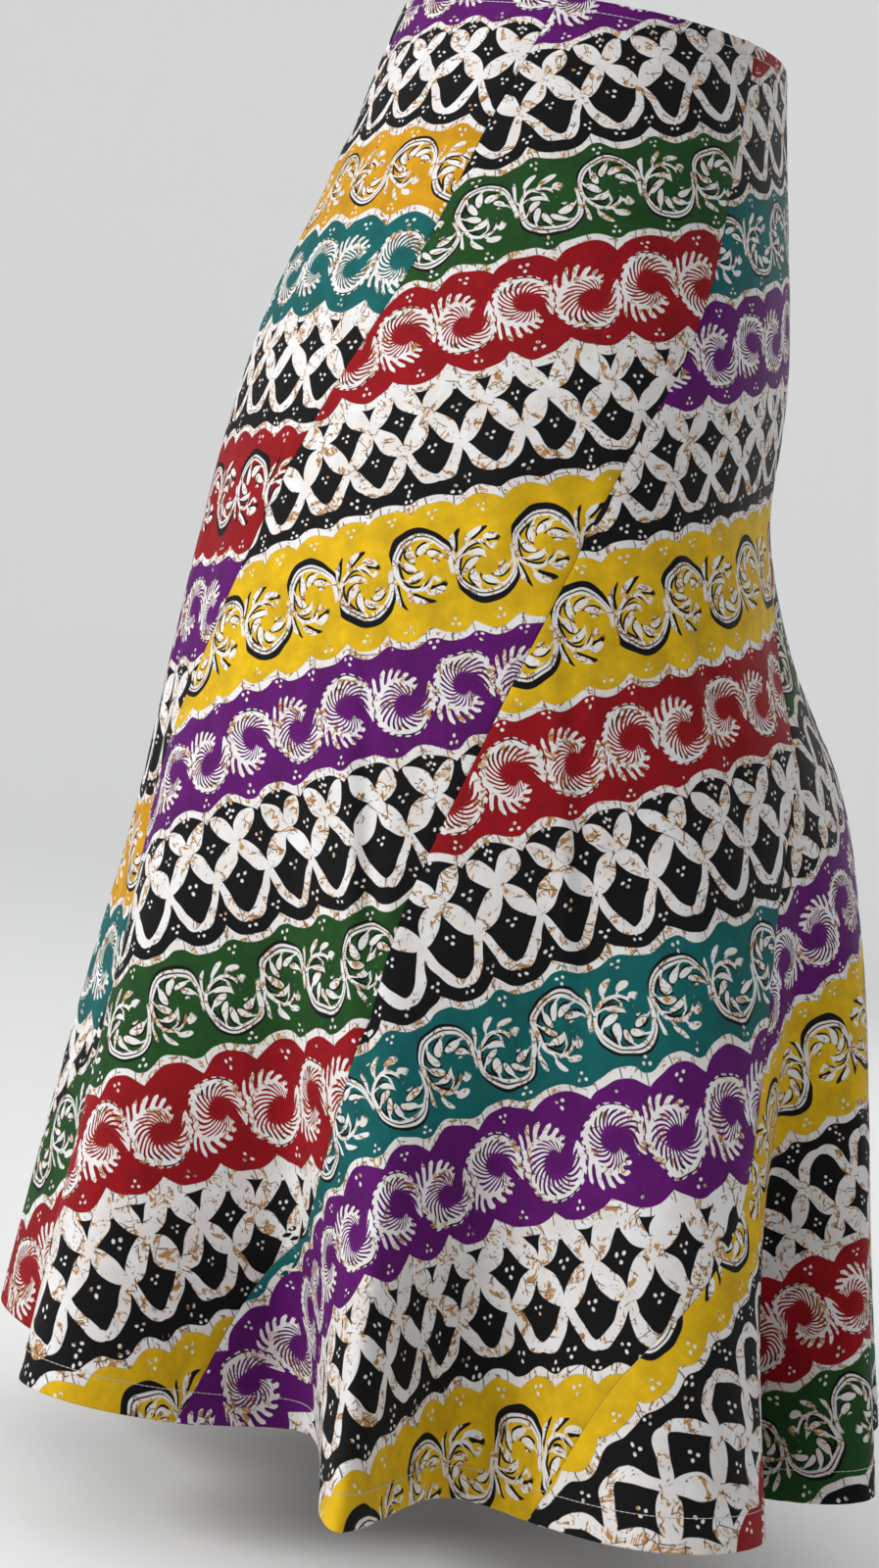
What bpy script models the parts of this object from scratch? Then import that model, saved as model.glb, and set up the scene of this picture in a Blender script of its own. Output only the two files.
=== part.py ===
"""A worn batik skirt: six gores between seams that spiral round the body, with a concealed zip.

Metres. X runs to the wearer's left, Y to the back and Z up, from the middle of the waist, where the wearer's
body holds the skirt. A place on the cloth is a share of the length, down from the waist, and a share of the
round, counted from the centre front by way of the wearer's left side.
"""

import math
from collections import namedtuple

import bmesh
import bpy
import numpy as np
from mathutils import Matrix, Vector

LENGTH = 0.80  # waist to hem, down the cloth
CLOTH = 0.0014  # one layer, with its seam allowances pressed flat
HEM_TURN = 0.020  # height of the turned-up hem, which is two layers thick
SEAM_GAP = 0.0003
FOLD_GROWTH = 1.35  # a fold deepens down the skirt as this power of the way from its start to the hem

GORES = 6
FIRST_GORE = -2  # seams from the turning seam to where gore_0 begins
ACROSS = 18  # facets across one gore
BEND_SHARE = 0.018  # metres of even cloth that get as many facets as one radian of bend
ROWS_ABOVE_FOLDS = 7
ROWS_OF_FOLDS = 19
FOLD_TOP = 0.45  # share of the length where the rows of facets come closer together
RING_STEPS = 720
BEND_REACH = 4  # ring steps on each side over which a bend is evened out
SLOPE_STEP = 0.01  # share of the length over which the cloth's slope is taken
HARD_EDGE = math.radians(50)

ZIP_SEAM = 2  # seams from the turning seam, which puts the zip on the wearer's right hip
ZIP_LENGTH = 0.20
ZIP_GAP = 0.0020  # the gores stand this far apart round the slider's neck
TAPE_HALF = 0.012
TAPE_THICK = 0.0008
SLIDER_DROP = 0.005  # waist edge to the middle of the slider
SLIDER_FOOT = 0.0095
TAPE_TOP = 0.0112
PULL_THICK = 0.0010
PULL_RISE = 0.0023  # the pull's axis lies this far outside the cloth
PULL_LEAN = math.radians(4)  # the pull leans in towards the cloth at rest

Section = namedtuple("Section", "drop front back side")
SECTIONS = (
    Section(0.000, 0.115, 0.108, 0.132),
    Section(0.060, 0.129, 0.119, 0.152),
    Section(0.120, 0.144, 0.131, 0.168),
    Section(0.190, 0.163, 0.142, 0.181),
    Section(0.260, 0.174, 0.145, 0.188),
    Section(0.330, 0.180, 0.169, 0.192),
    Section(0.410, 0.185, 0.211, 0.195),
    Section(0.500, 0.190, 0.241, 0.198),
    Section(0.600, 0.198, 0.259, 0.201),
    Section(0.700, 0.203, 0.271, 0.204),
    Section(0.800, 0.206, 0.284, 0.208),
)

# A fold is a crest and the valley after it, each with its turn in degrees from +X towards +Y, its reach from
# the middle, half its width in degrees, and how far it hangs below the even hem. The folds start at a share
# of the length.
Fold = namedtuple("Fold", "name crest reach half hang valley depth width lift start")
FOLDS = (
    Fold("front", -100, 0.231, 8, -0.006, -66, 0.176, 4, -0.006, 0.50),
    Fold("front left", -42, 0.264, 8, -0.008, -12, 0.136, 6, -0.008, 0.48),
    Fold("pleat", -1, 0.302, 2, 0.012, 15, 0.206, 5, -0.002, 0.62),
    Fold("left flare", 38, 0.326, 10, 0.008, 66, 0.220, 2, 0.004, 0.48),
    Fold("back left", 65, 0.318, 5, 0.000, 84, 0.262, 3, 0.000, 0.52),
    Fold("back", 98, 0.316, 5, -0.002, 113, 0.250, 4, -0.002, 0.50),
    Fold("back right", 130, 0.318, 8, -0.002, 150, 0.200, 5, -0.002, 0.48),
    Fold("right flare", 166, 0.280, 7, -0.002, 184, 0.170, 4, -0.002, 0.50),
    Fold("right", 199, 0.268, 6, -0.006, 215, 0.162, 5, -0.006, 0.52),
    Fold("front right", 232, 0.254, 7, -0.006, 247, 0.182, 4, -0.006, 0.50),
)

# Where the turning seam lies: its share of the round at each share of the length.
Turn = namedtuple("Turn", "share place")
TURNING_SEAM = (
    Turn(0.0, 0.385),
    Turn(0.1, 0.360),
    Turn(0.2, 0.341),
    Turn(0.3, 0.311),
    Turn(0.4, 0.279),
    Turn(0.5, 0.245),
    Turn(0.6, 0.219),
    Turn(0.7, 0.204),
    Turn(0.8, 0.181),
    Turn(0.9, 0.145),
    Turn(1.0, 0.123),
)

GORE_COLOURS = (
    (0.35, 0.06, 0.09),
    (0.10, 0.16, 0.09),
    (0.09, 0.02, 0.16),
    (0.03, 0.13, 0.13),
    (0.60, 0.42, 0.03),
    (0.05, 0.05, 0.05),
)
TAPE_COLOUR = (0.02, 0.02, 0.02)
METAL_COLOUR = (0.35, 0.33, 0.30)


def clear_scene():
    for obj in list(bpy.data.objects):
        bpy.data.objects.remove(obj, do_unlink=True)


def smooth(rows, column, at):
    """A smooth curve through one column of a table, read at one value of its first column."""
    stops = np.array([row[0] for row in rows])
    values = np.array([getattr(row, column) for row in rows])
    slopes = np.gradient(values, stops)
    i = int(np.clip(np.searchsorted(stops, at, side="right") - 1, 0, len(stops) - 2))
    step = stops[i + 1] - stops[i]
    t = (at - stops[i]) / step
    return float(
        (1 + 2 * t) * (1 - t) ** 2 * values[i]
        + t * (1 - t) ** 2 * step * slopes[i]
        + t * t * (3 - 2 * t) * values[i + 1]
        + t * t * (t - 1) * step * slopes[i + 1]
    )


def arc_lengths(line):
    steps = np.linalg.norm(np.diff(line, axis=0), axis=1)
    return np.concatenate([[0.0], np.cumsum(steps)])


def evenly(line, extra=None):
    """The closed line, and the extra columns beside it, at RING_STEPS even steps of its length."""
    arc = arc_lengths(line)
    columns = line if extra is None else np.column_stack([line, extra])
    at = np.arange(RING_STEPS) / RING_STEPS * arc[-1]
    return np.column_stack([np.interp(at, arc, column) for column in columns.T])


def body_ring(drop):
    """The round of the body under the cloth: an ellipse with its own reach to the front, back and sides."""
    turn = np.radians(np.linspace(-90, 270, 4 * RING_STEPS + 1))
    reach = np.where(np.sin(turn) > 0, smooth(SECTIONS, "back", drop), smooth(SECTIONS, "front", drop))
    side = smooth(SECTIONS, "side", drop)
    return evenly(np.column_stack([side * np.cos(turn), reach * np.sin(turn)]))


def fold_points():
    """The hem's control points: x, y, hang and start, two for each crest and two for each valley."""
    points = []
    for fold in FOLDS:
        for turn, reach, half, hang in (
            (fold.crest, fold.reach, fold.half, fold.hang),
            (fold.valley, fold.depth, fold.width, fold.lift),
        ):
            for side in (-half, half):
                angle = math.radians(turn + side)
                points.append((reach * math.cos(angle), reach * math.sin(angle), hang, fold.start))
    return np.array(points)


def hem_ring():
    """The hem's folded round, a closed cubic B-spline that begins at the centre front."""
    points = fold_points()
    count = len(points)
    at = np.linspace(0, count, 4 * RING_STEPS, endpoint=False)
    i = at.astype(int)
    t = (at - i)[:, None]
    before, here, after, beyond = (points[(i + step) % count] for step in (-1, 0, 1, 2))
    curve = (
        (1 - t) ** 3 * before
        + (3 * t**3 - 6 * t**2 + 4) * here
        + (-3 * t**3 + 3 * t**2 + 3 * t + 1) * after
        + t**3 * beyond
    ) / 6
    crosses = (curve[:, 0] <= 0) & (np.roll(curve[:, 0], -1) > 0) & (curve[:, 1] < 0)
    curve = np.roll(curve, -int(np.argmax(crosses)), axis=0)
    curve = np.vstack([curve, curve[:1]])
    return evenly(curve[:, :2], curve[:, 2:])


WAIST_RING = body_ring(0.0)
BODY_AT_HEM = body_ring(LENGTH)
HEM_RING = hem_ring()


def cloth_ring(share):
    """One round of the cloth's outer face, at RING_STEPS places."""
    hang, start = HEM_RING[:, 2], HEM_RING[:, 3]
    grown = np.clip((share - start) / (1 - start), 0, None) ** FOLD_GROWTH
    flat = body_ring(share * LENGTH) + grown[:, None] * (HEM_RING[:, :2] - BODY_AT_HEM)
    flare = np.linalg.norm(flat - WAIST_RING, axis=1)
    rise = flare**2 / (2 * LENGTH * max(share, 1e-6))
    return np.column_stack([flat, rise - share * LENGTH - share**3 * hang])


def unit(vectors):
    return vectors / np.linalg.norm(vectors, axis=1)[:, None]


def softened(values, reach):
    """The mean over a closed ring's nearest values on both sides."""
    return sum(np.roll(values, step) for step in range(-reach, reach + 1)) / (2 * reach + 1)


def shares_beside(share):
    return max(share - SLOPE_STEP, 0.0), min(share + SLOPE_STEP, 1.0)


class Round:
    """A round of the cloth, run three times over, so that a gore can cross the centre front."""

    def __init__(self, share):
        ring = cloth_ring(share)
        above, below = (cloth_ring(at) for at in shares_beside(share))
        ahead, behind = np.roll(ring, -1, axis=0), np.roll(ring, 1, axis=0)
        normals = unit(np.cross(unit(below - above), unit(ahead - behind)))
        edges = ahead - ring
        spans = np.linalg.norm(edges, axis=1)
        headings = np.arctan2(edges[:, 1], edges[:, 0])
        bends = np.abs((np.diff(headings, prepend=headings[-1]) + math.pi) % (2 * math.pi) - math.pi)
        costs = spans + BEND_SHARE * softened(bends, BEND_REACH)
        loops = 3
        self.place = np.arange(-RING_STEPS, (loops - 1) * RING_STEPS) / RING_STEPS
        self.arc = np.concatenate([[0.0], np.cumsum(np.tile(spans, loops))[:-1]])
        self.cost = np.concatenate([[0.0], np.cumsum(np.tile(costs, loops))[:-1]])
        self.points = np.tile(ring, (loops, 1))
        self.normals = np.tile(normals, (loops, 1))

    def arc_at(self, place):
        return float(np.interp(place, self.place, self.arc))

    def point_at(self, arc):
        return np.array([np.interp(arc, self.arc, axis) for axis in self.points.T])

    def columns(self, begin, end, count):
        """Points and normals at count + 1 places from one arc length to another, closer at bends."""
        costs = np.linspace(*np.interp([begin, end], self.arc, self.cost), count + 1)
        arcs = np.interp(costs, self.cost, self.arc)
        points, normals = (
            np.column_stack([np.interp(arcs, self.arc, axis) for axis in table.T])
            for table in (self.points, self.normals)
        )
        return points, unit(normals)


def seam_place(seam, share):
    return smooth(TURNING_SEAM, "place", share) + seam / GORES


def seam_point(seam, share):
    cloth = Round(share)
    return cloth.point_at(cloth.arc_at(seam_place(seam, share)))


def seam_arc(round_of_cloth, seam, share, side):
    """Where a gore ends beside a seam, with half the gap square to the seam on its side."""
    above, below = (seam_point(seam, at) for at in shares_beside(share))
    arc = round_of_cloth.arc_at(seam_place(seam, share))
    reach = SLOPE_STEP * LENGTH
    across = round_of_cloth.point_at(arc + reach) - round_of_cloth.point_at(arc - reach)
    seam_run, ring_run = unit(np.array([below - above, across]))
    slant = np.linalg.norm(np.cross(seam_run, ring_run))
    wide = seam == ZIP_SEAM and share * LENGTH < SLIDER_FOOT + SEAM_GAP
    return arc + side * (ZIP_GAP if wide else SEAM_GAP) / 2 / slant


def rows_of_gore():
    """Shares of the length: close together at the zip's slider, in the folds and at the turned hem."""
    top = SLIDER_FOOT + 2 * SEAM_GAP
    folds = FOLD_TOP * LENGTH
    hem = LENGTH - HEM_TURN
    drops = [0.0, SLIDER_FOOT]
    drops += np.linspace(top, folds, ROWS_ABOVE_FOLDS, endpoint=False).tolist()
    drops += np.linspace(folds, hem - CLOTH / 2, ROWS_OF_FOLDS).tolist()
    drops += [hem + CLOTH / 2, LENGTH]
    return [drop / LENGTH for drop in drops]


def layers_at(share):
    return 2 if share * LENGTH > LENGTH - HEM_TURN else 1


def gore_faces(gore):
    """The outer and the inner face of a gore, each as (rows, columns, 3) points."""
    seam = gore + FIRST_GORE
    outer, inner = [], []
    for share in rows_of_gore():
        cloth = Round(share)
        begin = seam_arc(cloth, seam, share, 1)
        end = seam_arc(cloth, seam + 1, share, -1)
        points, normals = cloth.columns(begin, end, ACROSS)
        outer.append(points)
        inner.append(points - normals * CLOTH * layers_at(share))
    return np.array(outer), np.array(inner)


def material(name, colour, roughness, metallic=0.0):
    made = bpy.data.materials.new(name)
    made.use_nodes = True
    shader = made.node_tree.nodes["Principled BSDF"]
    shader.inputs["Base Color"].default_value = (*colour, 1.0)
    shader.inputs["Roughness"].default_value = roughness
    shader.inputs["Metallic"].default_value = metallic
    return made


def add_mesh(name, mesh, collection, finish):
    obj = bpy.data.objects.new(name, mesh)
    obj.data.materials.append(finish)
    collection.objects.link(obj)
    return obj


def wall_mesh(name, outer, inner):
    """A closed wall lofted down through its rows, between an outer and an inner face of the same grid."""
    rows, columns = outer.shape[:2]
    back = rows * columns
    faces = []
    for r in range(rows - 1):
        for c in range(columns - 1):
            here = r * columns + c
            faces.append((here, here + columns, here + columns + 1, here + 1))
            turned = (here, here + 1, here + columns + 1, here + columns)
            faces.append(tuple(back + corner for corner in turned))
    for r in range(rows - 1):
        start, end = r * columns, r * columns + columns - 1
        faces += rim_faces(start + columns, start, back)
        faces += rim_faces(end, end + columns, back)
    for c in range(columns - 1):
        foot = (rows - 1) * columns + c
        faces += rim_faces(c, c + 1, back)
        faces += rim_faces(foot + 1, foot, back)
    mesh = bpy.data.meshes.new(name)
    mesh.from_pydata(np.concatenate([outer, inner]).reshape(-1, 3).tolist(), [], faces)
    mesh.shade_smooth()
    mesh.set_sharp_from_angle(angle=HARD_EDGE)
    return mesh


def rim_faces(first, second, back):
    """Two triangles that close the wall between the outer and inner face, split the same way on every rim."""
    low, high = min(first, second), max(first, second)
    if first < second:
        return [(low, high, back + high), (low, back + high, back + low)]
    return [(high, low, back + high), (low, back + low, back + high)]


def add_gore(gore, collection):
    name = f"gore_{gore}"
    outer, inner = gore_faces(gore)
    finish = material(f"{name}_cloth", GORE_COLOURS[gore], 0.8)
    add_mesh(name, wall_mesh(name, outer, inner), collection, finish)
    return outer, inner


def between_rows(face, share):
    """One row of a gore's face at any share of the length, straight between its two nearest rows."""
    shares = rows_of_gore()
    i = int(np.clip(np.searchsorted(shares, share) - 1, 0, len(shares) - 2))
    t = (share - shares[i]) / (shares[i + 1] - shares[i])
    return face[i] * (1 - t) + face[i + 1] * t


def tape_row(gore, share, edge, depth):
    """Points of one gore at this depth under its outer face, from the seam out to half the tape's width."""
    outer, inner = (between_rows(face, share)[::edge] for face in gore)
    arc = arc_lengths(outer)
    stops = np.array([0.0, arc[1], TAPE_HALF])
    points = outer + (inner - outer) * depth / CLOTH
    return np.column_stack([np.interp(stops, arc, axis) for axis in points.T])


def add_tape(before, after, collection):
    """The zip's tape, made from the points of the two gores that it joins, moved in."""
    last = (TAPE_TOP + ZIP_LENGTH) / LENGTH
    shares = [TAPE_TOP / LENGTH]
    shares += [share for share in rows_of_gore() if shares[0] < share < last]
    shares.append(last)
    faces = []
    for depth in (CLOTH + SEAM_GAP, CLOTH + SEAM_GAP + TAPE_THICK):
        rows = []
        for share in shares:
            left = tape_row(before, share, -1, depth)[::-1]
            rows.append(np.concatenate([left, tape_row(after, share, 1, depth)]))
        faces.append(np.array(rows))
    finish = material("tape_cloth", TAPE_COLOUR, 0.8)
    add_mesh("zip_tape", wall_mesh("zip_tape", *faces), collection, finish)


def slider_place(before, after):
    """The slider's own axes as a matrix: X round the waist, Y up the seam and Z out of the cloth."""
    share = SLIDER_DROP / LENGTH
    left, right = between_rows(before, share)[-1], between_rows(after, share)[0]
    top = (before[0, -1] + after[0, 0]) / 2
    middle = (left + right) / 2
    up = Vector(top - middle).normalized()
    out = Vector(right - left).cross(up).normalized()
    round_waist = up.cross(out)
    place = Matrix((round_waist, up, out)).transposed().to_4x4()
    place.translation = Vector(middle)
    return place


def box_mesh(name, low, high):
    """A box between two corners."""
    mesh = bpy.data.meshes.new(name)
    shape = bmesh.new()
    bmesh.ops.create_cube(shape, size=1.0)
    size = Vector(high) - Vector(low)
    middle = (Vector(high) + Vector(low)) / 2
    bmesh.ops.scale(shape, vec=size, verts=shape.verts)
    bmesh.ops.translate(shape, vec=middle, verts=shape.verts)
    shape.to_mesh(mesh)
    shape.free()
    return mesh


# The slider's blocks, in millimetres along its own axes: half its width, then from and to up the seam, then
# from and to out of the cloth.
Block = namedtuple("Block", "name half foot top inner outer")
SLIDER_BODY = Block("slider_body", 3.0, -4.5, 4.0, -4.2, -1.7)
SLIDER_BLOCKS = (
    Block("slider_neck", 0.7, -2.5, 2.5, -2.2, 0.8),
    Block("slider_plate", 2.4, -3.0, 3.0, 0.3, 1.3),
    Block("slider_lower_post", 0.7, -2.6, -1.6, 1.0, 3.6),
    Block("slider_upper_post", 0.7, 1.6, 2.6, 1.0, 3.6),
    Block("slider_bridge", 0.7, -2.6, 2.6, 3.3, 4.1),
)
MM = 0.001


def block_mesh(block):
    low = (-block.half * MM, block.foot * MM, block.inner * MM)
    high = (block.half * MM, block.top * MM, block.outer * MM)
    return box_mesh(block.name, low, high)


def add_slider(place, collection, helpers):
    finish = material("slider_metal", METAL_COLOUR, 0.35, 1.0)
    slider = add_mesh("zip_slider", block_mesh(SLIDER_BODY), collection, finish)
    slider.matrix_world = place
    for block in SLIDER_BLOCKS:
        helper = add_mesh(block.name, block_mesh(block), helpers, finish)
        helper.matrix_world = place
        helper.hide_render = True
        helper.display_type = "WIRE"
        join = slider.modifiers.new(block.name, "BOOLEAN")
        join.operation = "UNION"
        join.object = helper


def pull_outline():
    """The pull's outline and its window, in millimetres from its axis, with the tab hanging down."""
    bar_half, bar_width, neck_drop = 1.9, 0.55, -4.0
    drop_centre, drop_radius, steps = -12.0, 3.2, 10
    tab = [(bar_half, bar_width), (bar_half, neck_drop), (drop_radius, drop_centre)]
    for i in range(1, steps):
        angle = math.pi * i / steps
        tab.append((drop_radius * math.cos(angle), drop_centre - drop_radius * math.sin(angle)))
    tab += [(-drop_radius, drop_centre), (-bar_half, neck_drop), (-bar_half, bar_width)]
    window_half, window_top, window_foot = 1.0, -0.55, -3.6
    window = [
        (-window_half, window_foot),
        (window_half, window_foot),
        (window_half, window_top),
        (-window_half, window_top),
    ]
    return tab, window


def add_pull(place, collection):
    """The pull tab: a flat drop whose window hooks through the slider's bridge."""
    curve = bpy.data.curves.new("zip_pull", "CURVE")
    curve.dimensions = "2D"
    curve.fill_mode = "BOTH"
    curve.extrude = PULL_THICK / 2
    for outline in pull_outline():
        spline = curve.splines.new("POLY")
        spline.points.add(len(outline) - 1)
        for point, (x, y) in zip(spline.points, outline):
            point.co = (x * MM, y * MM, 0.0, 1.0)
        spline.use_cyclic_u = True
    curve.materials.append(material("pull_metal", METAL_COLOUR, 0.35, 1.0))
    pull = bpy.data.objects.new("zip_pull", curve)
    axis = Matrix.Translation((0, 0, PULL_RISE))
    pull.matrix_world = place @ axis @ Matrix.Rotation(PULL_LEAN, 4, "X")
    collection.objects.link(pull)


def main():
    clear_scene()
    skirt = bpy.data.collections.new("batik skirt")
    helpers = bpy.data.collections.new("cutters")
    for collection in (skirt, helpers):
        bpy.context.scene.collection.children.link(collection)
    gores = [add_gore(gore, skirt) for gore in range(GORES)]
    before = ZIP_SEAM - FIRST_GORE - 1
    zip_gores = gores[before : before + 2]
    add_tape(*zip_gores, skirt)
    place = slider_place(*(outer for outer, _ in zip_gores))
    add_slider(place, skirt, helpers)
    add_pull(place, skirt)


main()
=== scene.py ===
"""The looks of a worn batik skirt: six printed gores between spiral seams, a turned hem and a concealed zip.

Metres. X runs to the skirt's left side, Y to its back and Z up, from the middle of the waist. A place on the
cloth is a share of the length, down from the waist, and a share of the round, from the centre front by way of
the left side. Each gore keeps its own flat cut as a UV map in metres, and the print is drawn on that.
"""

import math
from collections import namedtuple

import bmesh
import bpy
import numpy as np
from mathutils import Matrix, Vector


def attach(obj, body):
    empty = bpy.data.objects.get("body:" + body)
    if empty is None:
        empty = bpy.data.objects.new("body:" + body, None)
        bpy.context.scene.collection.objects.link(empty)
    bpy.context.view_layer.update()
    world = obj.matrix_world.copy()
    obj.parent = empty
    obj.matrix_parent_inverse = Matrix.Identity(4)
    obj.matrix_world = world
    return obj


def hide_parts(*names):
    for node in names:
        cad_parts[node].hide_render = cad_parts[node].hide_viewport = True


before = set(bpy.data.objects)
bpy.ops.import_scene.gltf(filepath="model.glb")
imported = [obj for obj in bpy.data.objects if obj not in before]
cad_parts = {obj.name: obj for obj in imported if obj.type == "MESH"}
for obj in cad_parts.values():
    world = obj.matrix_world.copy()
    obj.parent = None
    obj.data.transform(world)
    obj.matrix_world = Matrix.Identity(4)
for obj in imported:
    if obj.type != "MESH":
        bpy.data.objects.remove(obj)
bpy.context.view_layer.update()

LENGTH = 0.80  # waist to hem, down the cloth
GORES = 6
FIRST_GORE = -2  # seams from the turning seam to where gore_0 begins
FOLD_GROWTH = 1.35  # the power by which the folds deepen on the way down
RING_STEPS = 1440  # even steps in one round of the cloth
FINE_STEPS = 4 * RING_STEPS
BEND_REACH = 6  # steps to each side over which a bend is evened out
BEND_SHARE = 0.014  # metres of even cloth that get as many columns as one radian of bend
SLOPE_STEP = 0.01  # of the length, up and down, for the cloth's slope

SHEET = 0.00045  # one layer of cotton
SEAM_FOLD = 0.0010  # how far under the outer face the pressed seam allowance lies
HEM_FOLD = 0.0021  # how far under the outer face the turned hem lies
SEAM_GAP = 0.00005
ROWS = 150
COLUMNS = 76

SEAM_DIP = 0.0005  # how far the stitches pull the cloth in
SEAM_DIP_REACH = 0.004
PUCKER = 0.00022
PUCKER_REACH = 0.009
PUCKER_PITCH = 0.021

Section = namedtuple("Section", "drop front back side")
SECTIONS = (
    Section(0.000, 0.115, 0.108, 0.132),
    Section(0.060, 0.129, 0.119, 0.152),
    Section(0.120, 0.144, 0.131, 0.168),
    Section(0.190, 0.163, 0.142, 0.181),
    Section(0.260, 0.174, 0.145, 0.188),
    Section(0.330, 0.180, 0.169, 0.192),
    Section(0.410, 0.185, 0.211, 0.195),
    Section(0.500, 0.190, 0.241, 0.198),
    Section(0.600, 0.198, 0.259, 0.201),
    Section(0.700, 0.203, 0.271, 0.204),
    Section(0.800, 0.206, 0.284, 0.208),
)

# A fold is a crest and the valley after it, each with its turn in degrees from +X towards +Y, its reach from
# the middle, half its width in degrees, and how far it hangs below the even hem. It starts at a share of the
# length.
Fold = namedtuple("Fold", "name crest reach half hang valley depth width lift start")
FOLDS = (
    Fold("front", -100, 0.231, 8, -0.006, -66, 0.176, 4, -0.006, 0.50),
    Fold("front left", -42, 0.264, 8, -0.008, -12, 0.136, 6, -0.008, 0.48),
    Fold("pleat", -1, 0.302, 2, 0.012, 15, 0.206, 5, -0.002, 0.62),
    Fold("left flare", 38, 0.326, 10, 0.008, 66, 0.220, 2, 0.004, 0.48),
    Fold("back left", 65, 0.318, 5, 0.000, 84, 0.262, 3, 0.000, 0.52),
    Fold("back", 98, 0.316, 5, -0.002, 113, 0.250, 4, -0.002, 0.50),
    Fold("back right", 130, 0.318, 8, -0.002, 150, 0.200, 5, -0.002, 0.48),
    Fold("right flare", 166, 0.280, 7, -0.002, 184, 0.170, 4, -0.002, 0.50),
    Fold("right", 199, 0.268, 6, -0.006, 215, 0.162, 5, -0.006, 0.52),
    Fold("front right", 232, 0.254, 7, -0.006, 247, 0.182, 4, -0.006, 0.50),
)

Turn = namedtuple("Turn", "share place")
TURNING_SEAM = (
    Turn(0.0, 0.385),
    Turn(0.1, 0.360),
    Turn(0.2, 0.341),
    Turn(0.3, 0.311),
    Turn(0.4, 0.279),
    Turn(0.5, 0.245),
    Turn(0.6, 0.219),
    Turn(0.7, 0.204),
    Turn(0.8, 0.181),
    Turn(0.9, 0.145),
    Turn(1.0, 0.123),
)

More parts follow.
